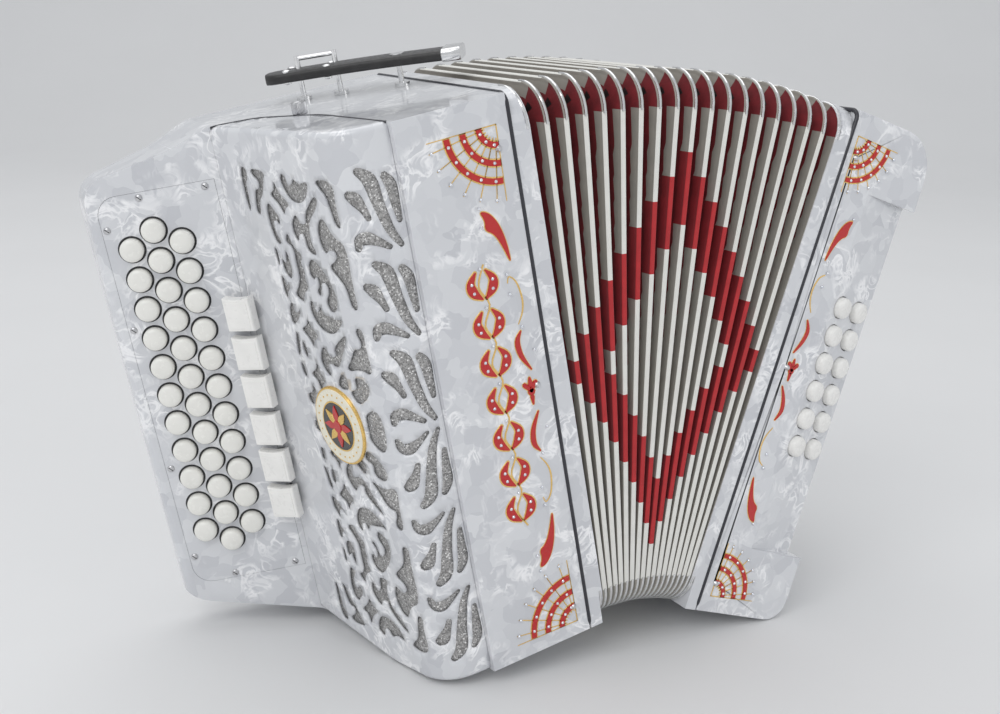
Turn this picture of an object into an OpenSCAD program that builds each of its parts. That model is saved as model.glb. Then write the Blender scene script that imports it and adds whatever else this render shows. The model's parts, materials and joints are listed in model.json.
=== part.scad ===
// Three-row button accordion standing fanned open on a flat surface.
// X runs along the bellows (treble side -X, bass side +X), Y from front to
// back, Z up. The origin is on the floor below the middle of the whole part.
// Inside each housing, "out" is the distance outwards from the bellows,
// Y is unchanged and "up" runs along the housing.

/* [Stance] */
// Lean of the treble housing; this value sets both housings on the floor
treble_lean = 12.2; // [11:0.1:14]
// Angle between the two housings at rest, degrees
fan_angle = 30; // [26:1:32]

/* [Housings] */
// Height of both housings
case_h = 305; // [303:1:308]
// Depth of both housings, front to back
case_d = 158; // [156:1:160]
// Wall thickness of the wooden housings
wall = 5; // [4:0.5:5.5]
// Width of the treble housing's plain front strip
strip_w = 61; // [60:1:62]
// Width of the bass housing
bass_w = 68; // [67:1:70]
// Depth of the treble reed chamber
reed_room = 29; // [28:1:29]
// Depth of the bass reed chamber
bass_reed_room = 20; // [18:1:20]

/* [Bellows] */
// Distance between neighbouring folds when the bellows is shut
fold_pitch = 3.1; // [3.1:0.05:3.3]
// Air gap left between shut folds
fold_gap = 0.2; // [0.15:0.05:0.3]
// Width of the folded board, from crest to valley
fold_depth = 20; // [16:1:22]
// Corner radius of the folds
fold_r = 19.5; // [15:0.5:20]
// Distance from a housing to its own end fold's middle
frame_t = 10; // [9:0.5:11]

/* [Fingerboard] */
// Turn of the fingerboard away from the front, degrees
finger_turn = 23.5; // [23:0.5:24]
// Distance between buttons of one row
button_pitch = 17; // [16.8:0.1:17]
// Distance between rows
row_pitch = 13.6; // [13.5:0.1:13.7]
// Diameter of a treble button's cap
button_dia = 13.4; // [12.8:0.1:13.5]
// Travel of a treble button
button_travel = 3.2; // [2.5:0.1:3.2]

/* [Bass side] */
// Slope of the bass button face, degrees
bass_slope = 12; // [10:1:13]
// Diameter of a bass button's cap
bass_button_dia = 12.6; // [12:0.1:13]
// Distance between bass buttons of one column
bass_pitch = 17.3; // [16.8:0.1:17.5]

/* [Registers] */
// Distance between register switches
register_pitch = 22.8; // [22.5:0.1:23]
// Side of a register switch's face
register_face = 15; // [14:0.5:15]

/* [Hidden] */
$fn = 48;

folds = 17;
gaps = folds + 1;
fold_step = fan_angle / gaps;
fold_t = fold_pitch - fold_gap;
half_d = case_d / 2;
bass_lean = fan_angle - treble_lean;
gasket_t = 1.2;
fit_gap = 0.15;
eps = 0.01;

// The treble housing rests on the lower edge of its grille cover, at foot_out
foot_out = 101;
foot_r = 3;
treble_z = (foot_out - foot_r) * sin(treble_lean) + foot_r * (1 - cos(treble_lean));

// Place of the middle fold's foot, in (X, Y), that centres the whole part on the origin
middle_fold_at = [44.1, -5.9];

// Chain of folds: each fold turns about the foot of the gap before it
function fold_tilt(k) = k * fold_step - treble_lean;
function across(k) = [cos(fold_tilt(k)), 0, -sin(fold_tilt(k))];
function chain(k) = k == 0 ? frame_t * across(0)
    : chain(k - 1) + fold_pitch / 2 * (across(k - 1) + across(k));
treble_origin = [middle_fold_at[0] - chain(9)[0], middle_fold_at[1], treble_z];
function fold_origin(k) = treble_origin + chain(k);
bass_origin = fold_origin(gaps) + frame_t * across(gaps);

module in_treble() {
    translate(treble_origin) rotate([0, -treble_lean, 0]) mirror([1, 0, 0]) children();
}
module in_bass() {
    translate(bass_origin) rotate([0, bass_lean, 0]) children();
}
module in_fold(k) {
    translate(fold_origin(k)) rotate([0, fold_tilt(k), 0]) children();
}
// Extrudes an outline drawn in (Y, up) outwards by t
module outwards(t) { rotate([90, 0, 90]) linear_extrude(t) children(); }
// Extrudes an outline drawn in (out, up) through the whole depth
module through_depth() {
    translate([0, half_d, 0]) rotate([90, 0, 0]) linear_extrude(case_d) children();
}

// Outline with rounded corners: each entry is [x, y, radius]
function unit(v) = v / norm(v);
function turned(a, b) = let (d = b - a) d > 180 ? d - 360 : d < -180 ? d + 360 : d;
function round_corner(a, b, c, r, steps) = let (
        u = unit(a - b), v = unit(c - b), half = acos(u * v) / 2,
        mid = b + unit(u + v) * r / sin(half),
        p = b + u * r / tan(half) - mid, q = b + v * r / tan(half) - mid,
        a0 = atan2(p[1], p[0]), sweep = turned(a0, atan2(q[1], q[0])))
    [for (i = [0:steps]) let (t = a0 + sweep * i / steps) mid + r * [cos(t), sin(t)]];
function xy(p) = [p[0], p[1]];
function outline(pts, steps = 6) = let (n = len(pts))
    [for (i = [0:n - 1]) each pts[i][2] == 0 ? [xy(pts[i])]
        : round_corner(xy(pts[(i + n - 1) % n]), xy(pts[i]), xy(pts[(i + 1) % n]),
            pts[i][2], steps)];

// ---- Treble housing ----

// Front view of the whole treble side, in (out, up)
wing_out = 186;
wing_foot = 36;
shoulder = 286;
silhouette = [[0, 0, 0], [foot_out, 0, foot_r], [116, 13, 12], [wing_out + 2, wing_foot, 20],
    [wing_out - 3, shoulder, 14], [138, 296, 30], [116, case_h, 25], [0, case_h, 0]];

// Place where the fingerboard's front plane starts, and its line in plan
board_start = [141.6, 45.7];
board_dir = [cos(finger_turn), sin(finger_turn)];
function on_board(along) = board_start + along * board_dir;
corner_along = -27;
tip_along = 47;
corner = on_board(corner_along);
tip = on_board(tip_along);

// Joint between the housing and the grille cover, in plan
function seam(shift) = [[strip_w + 1 + shift, -half_d - 1, 0], [71 + shift, -12, 30],
    [92 + shift, 26, 20], [corner[0] + shift, corner[1], 0]];

// Board recess, in board coordinates (along, up)
plate_in = -24;
plate_out = 40.5;
plate_low = 44;
plate_high = 277.5;
plate_t = 3;
plate_r = 11;
top_button_up = 256.1;
button_hole_r = 7.1;

module in_board() {
    translate([board_start[0], board_start[1], 0]) rotate([0, 0, finger_turn]) children();
}
// Outline in (along, up) made into a slab from depth d0 to d1 behind the board face
module board_slab(d0, d1) {
    translate([0, d1, 0]) rotate([90, 0, 0]) linear_extrude(d1 - d0) children();
}
function plate_outline(grow) = outline([[plate_in - grow, plate_low - grow, 0],
    [plate_out + grow, plate_low - grow, plate_r], [plate_out + grow, plate_high + grow, plate_r],
    [plate_in - grow, plate_high + grow, 0]]);

// Buttons of a row: row 0 inner, 1 middle, 2 outer; the middle row has one more
function row_count(row) = row == 1 ? 12 : 11;
function button_up(row, i) = top_button_up - button_pitch * (i + (row == 1 ? 0 : 0.5));

// Lever shafts of the three rows and their pallets, in plan
shafts = [[104, 51], [98, 60], [92, 69]];
pallet_y = [25, -10, -45];
lever_shift = [-4, 0, 4];
web_out = reed_room + wall;
pallet_w = 12.5;
pallet_l = 24;
shaft_r = 1.5;
shaft_gap = 0.05;
shaft_bite = 6;
room_low = 14;
room_high = case_h - 14;
function lever_up(row, i) = button_up(row, i) + lever_shift[row];

register_axis_depth = 6;
register_turn = 26.4;
register_top = 204.4;
pin_r = 1.5;
register_pin_l = 16;
register_slot_w = 6.4;
register_slot_h = 12.4;
function register_up(i) = register_top - i * register_pitch;
module in_register(i) {
    in_board() translate([corner_along, 0, register_up(i)]) rotate([0, 0, register_turn])
        children();
}
module register_rooms() {
    for (i = [0:5]) in_register(i) {
        translate([-register_slot_w / 2, -14, -register_slot_h / 2])
            cube([register_slot_w, 26, register_slot_h]);
        translate([0, register_axis_depth, -register_pin_l / 2 - 0.3])
            cylinder(r = pin_r + shaft_gap, h = register_pin_l + 0.6);
    }
}

screw_head_r = 1.9;
screw_shank_r = 1.1;
screw_l = 9;
function screw_spots() = concat(
    [for (x = [-18.5, 17]) each [[x, plate_low + 2.8], [x, plate_high - 3]]],
    [for (z = [61.7, 118.8, 203, 260]) [plate_out - 2.9, z]]);
module screws(grow = 0) {
    in_board() for (s = screw_spots()) translate([s[0], 0, s[1]]) rotate([-90, 0, 0]) {
        translate([0, 0, 0.1 - grow]) cylinder(r = screw_head_r + grow, h = 1.2 + grow);
        cylinder(r = screw_shank_r + grow, h = screw_l + grow);
    }
}

module treble_plan() {
    polygon(outline(concat([[0, -half_d, 0]], [for (p = seam(0)) p[1] < -half_d
        ? [p[0], -half_d, 0] : p],
        [[tip[0], tip[1], 6], [tip[0] - 1, half_d, 6], [0, half_d, 0]])));
}
// Room for levers and pallets, in plan
module mechanism_room() {
    translate([0, 0, room_low]) linear_extrude(room_high - room_low) polygon([
        [web_out, -half_d + wall], [57, -half_d + wall], [63, -20], [80, 26], [99, 39],
        [99, half_d - wall], [web_out, half_d - wall]]);
    translate([0, 0, plate_low + 8]) linear_extrude(plate_high - plate_low - 16)
        polygon([[98, 38], [104, 44.5], [122, 50], [164, 68], [164, half_d - wall],
            [98, half_d - wall]]);
}
module grille_window() {
    translate([0, 0, 22]) linear_extrude(case_h - 44)
        polygon([[50, -60], [75, -60], [92, 14], [60, 14]]);
}
module board_pocket() {
    intersection() {
        in_board() translate([-17, plate_t - eps, 50])
            cube([52, 17 - plate_t, plate_high - 57]);
        translate([0, -200, 0]) cube([300, 200 + half_d - 4, case_h]);
    }
}
// Pins that hold a bellows frame in its housing: low domes in front, flush behind
pin_head_r = 1.9;
pin_shank_r = 1;
pin_l = 12;
module frame_pins(grow = 0) {
    for (side = [-1, 1], z = [18, case_h / 2, case_h - 26])
        translate([8, side * half_d, z]) rotate([side * -90, 0, 0]) {
            translate([0, 0, -pin_l]) cylinder(r = pin_shank_r + grow, h = pin_l + grow + 0.1);
            if (grow == 0 && side < 0)
                translate([0, 0, 0.05]) cylinder(r1 = pin_head_r, r2 = pin_shank_r, h = 1.3);
        }
}
bracket_spots = [[57, 46], [39, 36], [12, 14]];
thumb_spot = [76, 4];

module treble_case() {
    color("whitesmoke") difference() {
        intersection() {
            in_treble() through_depth() polygon(outline(silhouette));
            in_treble() translate([0, 0, -1]) linear_extrude(case_h + 2) treble_plan();
        }
        in_treble() {
            translate([-1, -half_d + wall + 1, wall + 1])
                cube([reed_room + 1, case_d - 2 * wall - 2, case_h - 2 * wall - 2]);
            mechanism_room();
            grille_window();
            board_pocket();
            in_board() board_slab(-1, plate_t + fit_gap) polygon(plate_outline(fit_gap));
            register_rooms();
            for (row = [0:2], i = [0:row_count(row) - 1])
                translate([reed_room - 1, pallet_y[row] - 9, lever_up(row, i) - 4.5])
                    cube([wall + 2, 18, 9]);
            for (s = shafts) translate([s[0], s[1], room_low - shaft_bite - 0.3])
                cylinder(r = shaft_r + shaft_gap,
                    h = room_high - room_low + 2 * (shaft_bite + 0.3));
            screws(grow = 0.06);
            frame_pins(grow = 0.06);
            for (s = bracket_spots) translate([s[0], s[1], case_h - 6])
                cylinder(r = 1.56, h = 8);
            translate([thumb_spot[0], thumb_spot[1], case_h - 7]) cylinder(r = 1.56, h = 8);
        }
    }
}

module fingerboard_plate() {
    color("gainsboro") difference() {
        in_treble() in_board() board_slab(0, plate_t) polygon(plate_outline(0));
        in_treble() in_board() for (row = [0:2], i = [0:row_count(row) - 1])
            translate([row * row_pitch, -1, button_up(row, i)]) rotate([-90, 0, 0])
                cylinder(r = button_hole_r, h = plate_t + 2);
        in_treble() screws(grow = 0.06);
        in_treble() register_rooms();
    }
}

// ---- Grille cover ----

cover_t = 3;
cover_r = 24;
cover_front = half_d - 3;
cover_nose = [90.5, -half_d + 4.5];
function cover_side(inset) = let (d = unit(corner - cover_nose))
    [[strip_w + 1.6, -cover_front + inset, 0],
        [cover_nose[0] - inset, cover_nose[1] + inset, cover_r - inset],
        [corner[0] - inset * d[1] - 0.5 * d[0], corner[1] + inset * d[0] - 0.5 * d[1], 0]];
function reversed(l) = [for (i = [len(l) - 1:-1:0]) l[i]];
function cover_seam(shift) = [for (p = reversed(seam(shift))) if (p[2] > 0) p];
module grille_slots() {
    side = unit(corner - cover_nose);
    face_turn = atan2(side[1], side[0]);
    for (col = [0:4], row = [0:8])
        translate([cover_nose[0], cover_nose[1], 0]) rotate([0, 0, face_turn])
            translate([24 + col * 15, 5, 26 + row * 29 + (col % 2) * 8]) rotate([90, 0, 0])
                linear_extrude(10) polygon([[0, -10], [4, -2], [3.5, 5], [0, 10], [-3.5, 5],
                    [-4, -2]]);
}
module grille_cover() {
    color("whitesmoke") difference() {
        intersection() {
            in_treble() through_depth() polygon(outline(silhouette));
            in_treble() linear_extrude(case_h)
                polygon(outline(concat(cover_side(0), cover_seam(0.3)), 8));
        }
        in_treble() {
            translate([0, 0, cover_t]) linear_extrude(case_h - 2 * cover_t)
                polygon(outline(concat(cover_side(cover_t), cover_seam(-6)), 8));
            grille_slots();
            register_rooms();
        }
    }
}
module grille_cloth() {
    gap = cover_t + 0.3;
    thick = 0.8;
    front = -cover_front + gap + 0.5;
    color("silver") in_treble() translate([0, 0, 18]) linear_extrude(case_h - 36)
        polygon(outline([[72, front, 0],
            [cover_nose[0] - gap, cover_nose[1] + gap, cover_r - gap], [108.5, 15, 0],
            [108.5 - thick, 15, 0],
            [cover_nose[0] - gap - thick, cover_nose[1] + gap + thick, cover_r - gap - thick],
            [72, front + thick, 0]], 8));
}

// ---- Treble buttons, levers and registers ----

module button_body(dia, top, bottom, stem_r, stem_top) {
    rotate_extrude() polygon([[0, bottom], [stem_r, bottom], [stem_r, stem_top],
        [dia / 2, stem_top], [dia / 2, top - 1.4], [dia / 2 - 0.5, top - 0.5],
        [dia / 2 - 1.6, top], [0, top + 0.3]]);
}
button_top = 4.5;
stem_bottom = -7.5;
module treble_buttons(row) {
    color("ivory") in_treble() in_board() for (i = [0:row_count(row) - 1])
        translate([row * row_pitch, 0, button_up(row, i)]) rotate([90, 0, 0])
            button_body(button_dia, button_top, stem_bottom, 2.4, -1.6);
}

// One row of levers fixed to its own turning shaft, each carrying a pallet
lever_t = 2.2;
lever_w = 4.6;
lever_tip_r = 2.7;
pallet_t = 5;
push_gap = 0.5;
function push_spot(row) = on_board(row * row_pitch)
    + (-stem_bottom + push_gap + lever_tip_r) * [-board_dir[1], board_dir[0]];
module bar(a, b) {
    length = norm(b - a);
    angle = atan2(b[1] - a[1], b[0] - a[0]);
    translate([a[0], a[1], -lever_t / 2]) rotate([0, 0, angle])
        translate([0, -lever_w / 2, 0]) cube([length, lever_w, lever_t]);
}
module treble_levers(row) {
    shaft = shafts[row];
    pad = [web_out + pallet_t + 4, pallet_y[row]];
    color("silver") in_treble() {
        translate([shaft[0], shaft[1], room_low - shaft_bite])
            cylinder(r = shaft_r, h = room_high - room_low + 2 * shaft_bite);
        for (i = [0:row_count(row) - 1]) translate([0, 0, lever_up(row, i)]) {
            bar(shaft, push_spot(row));
            translate([push_spot(row)[0], push_spot(row)[1],
                min(0, -lever_shift[row]) - lever_t / 2])
                cylinder(r = lever_tip_r, h = lever_t + abs(lever_shift[row]));
            bar(shaft, pad);
            translate([shaft[0], shaft[1], -2.5]) cylinder(r = 3.4, h = 5);
            translate([web_out + 0.1, pallet_y[row] - pallet_l / 2, -pallet_w / 2])
                cube([pallet_t, pallet_l, pallet_w]);
            translate([web_out + 0.2, pallet_y[row] - 3, -lever_t / 2])
                cube([pallet_t + 6, 6, lever_t]);
        }
    }
}

module register_switch(i) {
    half = register_face / 2;
    foot = half - 1.5;
    color("ivory") in_treble() in_register(i) {
        translate([0, -7, 0]) rotate([90, 0, 0]) linear_extrude(6)
            polygon([[-half, -half], [half, -half], [half, half], [-half, half]]);
        translate([-1.6, -9, -foot]) cube([3.2, 9 + register_axis_depth, 2 * foot - 1.2]);
        translate([0, register_axis_depth, -register_pin_l / 2])
            cylinder(r = pin_r, h = register_pin_l);
    }
}

// ---- Frames, gaskets, folds ----

// Frame-shaped plate of depth d0, height h and thickness t, standing on its lower edge
module ring(d0, h, border, r_top, r_low, t) {
    half = d0 / 2;
    outwards(t) difference() {
        polygon(outline([[-half, 0, r_low], [half, 0, r_low], [half, h, r_top],
            [-half, h, r_top]]));
        polygon(outline([[-half + border, border, 3], [half - border, border, 3],
            [half - border, h - border, 3], [-half + border, h - border, 3]], 2));
    }
}
frame_border = 13;
lip_border = 5;
lip_reach = 14;
lip_gap = 0.3;
lip_r = 3;
// Frame on a housing's open side: a slab, a lip inside the housing, and the end fold
module end_frame() {
    translate([gasket_t, 0, 0])
        ring(case_d, case_h, frame_border, 16, 0, frame_t - fold_pitch / 2 - gasket_t + 0.3);
    translate([-lip_reach, 0, wall + 1 + lip_gap])
        ring(case_d - 2 * (wall + 1 + lip_gap), case_h - 2 * (wall + 1 + lip_gap), lip_border,
            lip_r, lip_r, lip_reach + gasket_t + 1);
    translate([frame_t - fold_t / 2, 0, 0])
        ring(case_d, case_h, fold_depth, fold_r, fold_r, fold_t);
}
module treble_frame() {
    color("white") in_treble() difference() {
        mirror([1, 0, 0]) end_frame();
        frame_pins(grow = 0.06);
    }
}
module bass_frame() {
    color("white") in_bass() difference() {
        mirror([1, 0, 0]) end_frame();
        frame_pins(grow = 0.06);
    }
}
gasket_border = 6;
module gasket_ring() {
    translate([0.05, 0, 0]) ring(case_d, case_h, gasket_border, 16, 0, gasket_t - 0.1);
}
module treble_gasket() { color("black") in_treble() mirror([1, 0, 0]) gasket_ring(); }
module bass_gasket() { color("black") in_bass() mirror([1, 0, 0]) gasket_ring(); }
module bellows_fold(k) {
    color(k % 2 == 0 ? "darkred" : "firebrick") in_fold(k) translate([-fold_t / 2, 0, 0])
        ring(case_d, case_h, fold_depth, fold_r, fold_r, fold_t);
}

// ---- Fasteners and strap on the treble side ----

module panel_screws() { color("silver") in_treble() screws(); }
module treble_frame_pins() { color("silver") in_treble() frame_pins(); }
// Knurled screw whose head clamps the grille cover's upper edge
module grille_thumbscrew() {
    color("silver") in_treble() translate([thumb_spot[0], thumb_spot[1], case_h]) {
        translate([0, 0, 0.1]) cylinder(r = 4, h = 6.5);
        translate([0, 0, -6.5]) cylinder(r = 1.5, h = 7);
    }
}
strap_t = 5;
strap_w = 18;
strap_up = 11;
strap_from = [64, 54];
strap_to = [-16, -6];
module in_strap() {
    d = strap_to - strap_from;
    translate([strap_from[0], strap_from[1], case_h + strap_up])
        rotate([0, 0, atan2(d[1], d[0])]) children();
}
strap_l = norm(strap_to - strap_from);
post_r = 1.5;
module bellows_strap() {
    color("black") difference() {
        in_treble() in_strap() {
            translate([0, -strap_w / 2, 0]) cube([strap_l, strap_w, strap_t]);
            cylinder(r = strap_w / 2, h = strap_t);
        }
        in_treble() for (s = bracket_spots) translate([s[0], s[1], case_h])
            cylinder(r = post_r + 0.06, h = 40);
    }
}
loop_rise = 24;
loop_r = 1.2;
// Back lugs for a pair of shoulder straps, bored along the out direction
lug_spots = [40, 275];
lug_out = 25;
lug_t = 4;
lug_base_t = 2;
lug_bore_r = 3;
lug_bore_back = 8.5;
module strap_lug(up) {
    translate([lug_out, half_d + 0.05, up]) difference() {
        union() {
            translate([-10, 0, -12]) cube([20, lug_base_t, 24]);
            translate([-lug_t / 2, 0, -7]) cube([lug_t, lug_bore_back + 6, 14]);
        }
        translate([-lug_t, lug_bore_back, 0]) rotate([0, 90, 0])
            cylinder(r = lug_bore_r, h = 2 * lug_t);
    }
}
// Posts and loop that guide the bellows strap, and the two back lugs
module strap_brackets() {
    a = bracket_spots[0];
    b = bracket_spots[1];
    c = bracket_spots[2];
    color("silver") in_treble() {
        for (s = bracket_spots) translate([s[0], s[1], case_h]) {
            translate([0, 0, -5.5]) cylinder(r = post_r, h = 6);
            translate([0, 0, 0.05]) cylinder(r = 4.2, h = 2);
        }
        for (s = [a, b]) translate([s[0], s[1], case_h]) cylinder(r = post_r, h = loop_rise);
        translate([a[0], a[1], case_h + loop_rise - post_r])
            rotate([0, 0, atan2(b[1] - a[1], b[0] - a[0])]) rotate([0, 90, 0])
                cylinder(r = loop_r, h = norm(b - a));
        translate([c[0], c[1], case_h]) cylinder(r = post_r, h = strap_up + strap_t + 1);
        translate([c[0], c[1], case_h + strap_up + strap_t + 0.05]) cylinder(r = 4, h = 1.6);
        for (up = lug_spots) strap_lug(up);
    }
}

// ---- Reed blocks ----

reed_block_t = 15;
// Wooden block at depth y in a reed chamber, with a row of cells on both sides
module reed_block(room, y, low, high, cells) {
    pitch = (high - low) / cells;
    difference() {
        translate([4, y - reed_block_t / 2, low]) cube([room - 4.1, reed_block_t, high - low]);
        for (i = [0:cells - 1], side = [-1, 1])
            translate([7, y + side * reed_block_t / 2 - (side > 0 ? 5 : 1),
                low + i * pitch + 1.5])
                cube([room - 12, 6, pitch - 3]);
    }
}
module treble_reed_blocks() {
    color("burlywood") in_treble() for (row = [0:2]) reed_block(reed_room,
        pallet_y[row], lever_up(row, row_count(row) - 1) - 9, lever_up(row, 0) + 9,
        row_count(row));
}

// ---- Bass housing ----

horn_low = 42;
horn_high = 262;
waist = 4;
slope_start = 26;
bass_columns = [10, 27.5];
bass_top_up = 195;
bass_wall = 4.5;
bass_web_out = bass_reed_room + wall;
bass_shape = [[0, 0, 0], [bass_w, 0, 14], [bass_w, 150, 0], [bass_w - 2.5, case_h, 24],
    [0, case_h, 0]];
module in_bass_face() {
    in_bass() translate([slope_start, -half_d, 0]) rotate([0, 0, bass_slope]) children();
}
function bass_up(i) = bass_top_up - bass_pitch * i;
function bass_spot(n) = [bass_columns[n % 2], 0, bass_up(floor(n / 2))];
air_spot = [-40, 236];
// Plan of what is cut away between the horns: the sloping front and the waist's side
module waist_cut() {
    side = bass_w - waist;
    polygon([[0, -half_d - slope_start * tan(bass_slope)], [side + 20, -half_d - 20],
        [side + 20, half_d + 1], [side, half_d + 1],
        [side, -half_d + (side - slope_start) * tan(bass_slope)]]);
}
module bass_case() {
    color("whitesmoke") difference() {
        in_bass() through_depth() polygon(outline(bass_shape));
        in_bass() {
            translate([-1, -half_d + wall + 1, wall + 1])
                cube([bass_reed_room + 1, case_d - 2 * wall - 2, case_h - 2 * wall - 2]);
            translate([0, 0, horn_low]) linear_extrude(horn_high - horn_low) waist_cut();
            translate([bass_web_out, -half_d + 22, 12])
                cube([bass_w - waist - bass_web_out - bass_wall, case_d - 23 - wall,
                    case_h - 36]);
            for (i = [0:5]) translate([bass_reed_room - 1, 0, bass_up(i) - 5])
                cube([wall + 2, 16, 10]);
            frame_pins(grow = 0.06);
            translate([bass_w - waist - 8, air_spot[0], air_spot[1]]) rotate([0, 90, 0])
                cylinder(r = 5.3, h = 20);
        }
        in_bass_face() {
            for (n = [0:11]) translate(bass_spot(n)) rotate([-90, 0, 0]) {
                translate([0, 0, -1]) cylinder(r = bass_button_dia / 2 + 0.45, h = 11);
                cylinder(r = bass_stem_r + 0.4, h = 26);
            }
        }
    }
}
bass_stem_r = 3;
module bass_button(n) {
    color("ivory") in_bass_face() translate(bass_spot(n)) rotate([90, 0, 0])
        button_body(bass_button_dia, 4, -14, bass_stem_r, -6);
}
module air_button() {
    color("ivory") in_bass() translate([bass_w - waist, air_spot[0], air_spot[1]])
        rotate([0, 90, 0]) button_body(10, 6, -12, 2.5, -4);
}
module bass_reed_block() {
    color("burlywood") in_bass() for (y = [-24, 8])
        reed_block(bass_reed_room, y, bass_up(5) - 9, bass_up(0) + 9, 6);
}
// Leather hand strap bowed away from the bass housing's outer side
strap_bow = 30;
module hand_strap() {
    color("black") in_bass() translate([0, -12, 0]) rotate([90, 0, 0])
        translate([0, 0, -62]) linear_extrude(52)
            difference() {
                polygon(strap_curve(4));
                polygon(strap_curve(0));
            }
}
function strap_curve(t) = concat([[bass_w - waist + 0.1, horn_low + 6 - t]],
    [for (i = [0:16]) let (s = i / 16)
        [bass_w - waist + 1.2 + t + strap_bow * sin(180 * s),
            horn_low + 6 - t + (208 + 2 * t) * s]],
    [[bass_w - waist + 0.1, horn_low + 214 + t]]);
module bass_frame_pins() { color("silver") in_bass() frame_pins(); }

treble_case();
fingerboard_plate();
grille_cover();
grille_cloth();
treble_frame();
treble_gasket();
panel_screws();
treble_frame_pins();
grille_thumbscrew();
bellows_strap();
strap_brackets();
treble_reed_blocks();
treble_buttons(0);  // treble_buttons_inner
treble_buttons(1);  // treble_buttons_middle
treble_buttons(2);  // treble_buttons_outer
treble_levers(0);  // treble_levers_inner
treble_levers(1);  // treble_levers_middle
treble_levers(2);  // treble_levers_outer
register_switch(0);  // register_switch_1
register_switch(1);  // register_switch_2
register_switch(2);  // register_switch_3
register_switch(3);  // register_switch_4
register_switch(4);  // register_switch_5
register_switch(5);  // register_switch_6
bellows_fold(1);  // fold_01
bellows_fold(2);  // fold_02
bellows_fold(3);  // fold_03
bellows_fold(4);  // fold_04
bellows_fold(5);  // fold_05
bellows_fold(6);  // fold_06
bellows_fold(7);  // fold_07
bellows_fold(8);  // fold_08
bellows_fold(9);  // fold_09
bellows_fold(10);  // fold_10
bellows_fold(11);  // fold_11
bellows_fold(12);  // fold_12
bellows_fold(13);  // fold_13
bellows_fold(14);  // fold_14
bellows_fold(15);  // fold_15
bellows_fold(16);  // fold_16
bellows_fold(17);  // fold_17
bass_case();
bass_frame();
bass_gasket();
bass_reed_block();
bass_button(0);  // bass_button_01
bass_button(1);  // bass_button_02
bass_button(2);  // bass_button_03
bass_button(3);  // bass_button_04
bass_button(4);  // bass_button_05
bass_button(5);  // bass_button_06
bass_button(6);  // bass_button_07
bass_button(7);  // bass_button_08
bass_button(8);  // bass_button_09
bass_button(9);  // bass_button_10
bass_button(10);  // bass_button_11
bass_button(11);  // bass_button_12
air_button();
hand_strap();
bass_frame_pins();
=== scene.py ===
"""Looks of a three-row button accordion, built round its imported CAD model.

Local frames are in millimetres, with x outwards from the bellows (or along a face),
y from front to back and z up the housing. Meshes are written in metres.
"""

import json
import math

import bmesh
import bpy
import numpy as np
from mathutils import Matrix, Vector
from mathutils.geometry import delaunay_2d_cdt


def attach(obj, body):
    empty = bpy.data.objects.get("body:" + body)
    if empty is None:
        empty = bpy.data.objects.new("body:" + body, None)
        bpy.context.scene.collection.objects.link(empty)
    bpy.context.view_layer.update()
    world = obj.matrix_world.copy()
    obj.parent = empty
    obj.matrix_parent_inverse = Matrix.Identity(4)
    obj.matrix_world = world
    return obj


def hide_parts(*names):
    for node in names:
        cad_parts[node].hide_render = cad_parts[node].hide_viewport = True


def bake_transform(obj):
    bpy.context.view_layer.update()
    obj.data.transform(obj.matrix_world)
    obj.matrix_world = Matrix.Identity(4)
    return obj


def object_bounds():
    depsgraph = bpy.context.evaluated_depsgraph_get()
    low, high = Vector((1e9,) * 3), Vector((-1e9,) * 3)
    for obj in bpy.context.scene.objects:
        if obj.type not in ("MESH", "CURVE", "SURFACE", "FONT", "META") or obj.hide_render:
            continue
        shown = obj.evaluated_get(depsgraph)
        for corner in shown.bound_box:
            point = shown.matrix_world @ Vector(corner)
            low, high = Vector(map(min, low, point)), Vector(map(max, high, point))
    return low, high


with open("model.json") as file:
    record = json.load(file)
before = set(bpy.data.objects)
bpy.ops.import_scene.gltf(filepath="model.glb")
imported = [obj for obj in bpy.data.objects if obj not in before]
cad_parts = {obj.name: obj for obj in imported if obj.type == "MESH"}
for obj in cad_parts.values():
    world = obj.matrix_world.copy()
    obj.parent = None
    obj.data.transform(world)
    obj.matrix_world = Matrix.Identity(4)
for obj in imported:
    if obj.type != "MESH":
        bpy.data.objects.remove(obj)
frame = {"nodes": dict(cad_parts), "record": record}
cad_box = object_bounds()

MM = 0.001
Y_AXIS = Vector((0, 1, 0))
WAVE_PERIOD = 0.314  # of Blender's wave texture at scale 1

# ---- Driving dimensions, the same as the CAD's ----

TREBLE_LEAN = math.radians(12.2)
BASS_LEAN = math.radians(17.8)
GAPS = 18
FOLD_PITCH = 3.1
FRAME_T = 10
CASE_H = 305
HALF_D = 79
FOLD_R = 19.5
FINGER_TURN = 23.5
BOARD_START = (141.6, 45.7)
BUTTON_PITCH = 17
ROW_PITCH = 13.6
TOP_BUTTON_UP = 256.1
REGISTER_TURN = 26.4
REGISTER_TOP = 204.4
REGISTER_PITCH = 22.8
REGISTER_X = -27
PLATE_LOW, PLATE_HIGH, PLATE_OUT = 44, 277.5, 40.5
BASS_SLOPE = 12
BASS_SLOPE_START = 26
BASS_COLUMNS, BASS_TOP, BASS_PITCH = (10, 27.5), 195, 17.3


def across(k):
    """Direction along the bellows at fold k; 0 and GAPS are the two end frames."""
    t = k * (TREBLE_LEAN + BASS_LEAN) / GAPS - TREBLE_LEAN
    return Vector((math.cos(t), 0, -math.sin(t)))


def rise(k):
    return across(k).cross(Y_AXIS)


JOINTS = {j["name"]: j for j in frame["record"]["behaviour"]["joints"]}


def fold_foot(k):
    """Foot of fold k's middle plane, worked out from the CAD's hinge positions."""
    hinge = Vector(JOINTS["bellows_hinge_%02d" % max(k, 1)]["pos_m"]) / MM
    return hinge + (1 if k else -1) * FOLD_PITCH / 2 * across(k)


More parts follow.
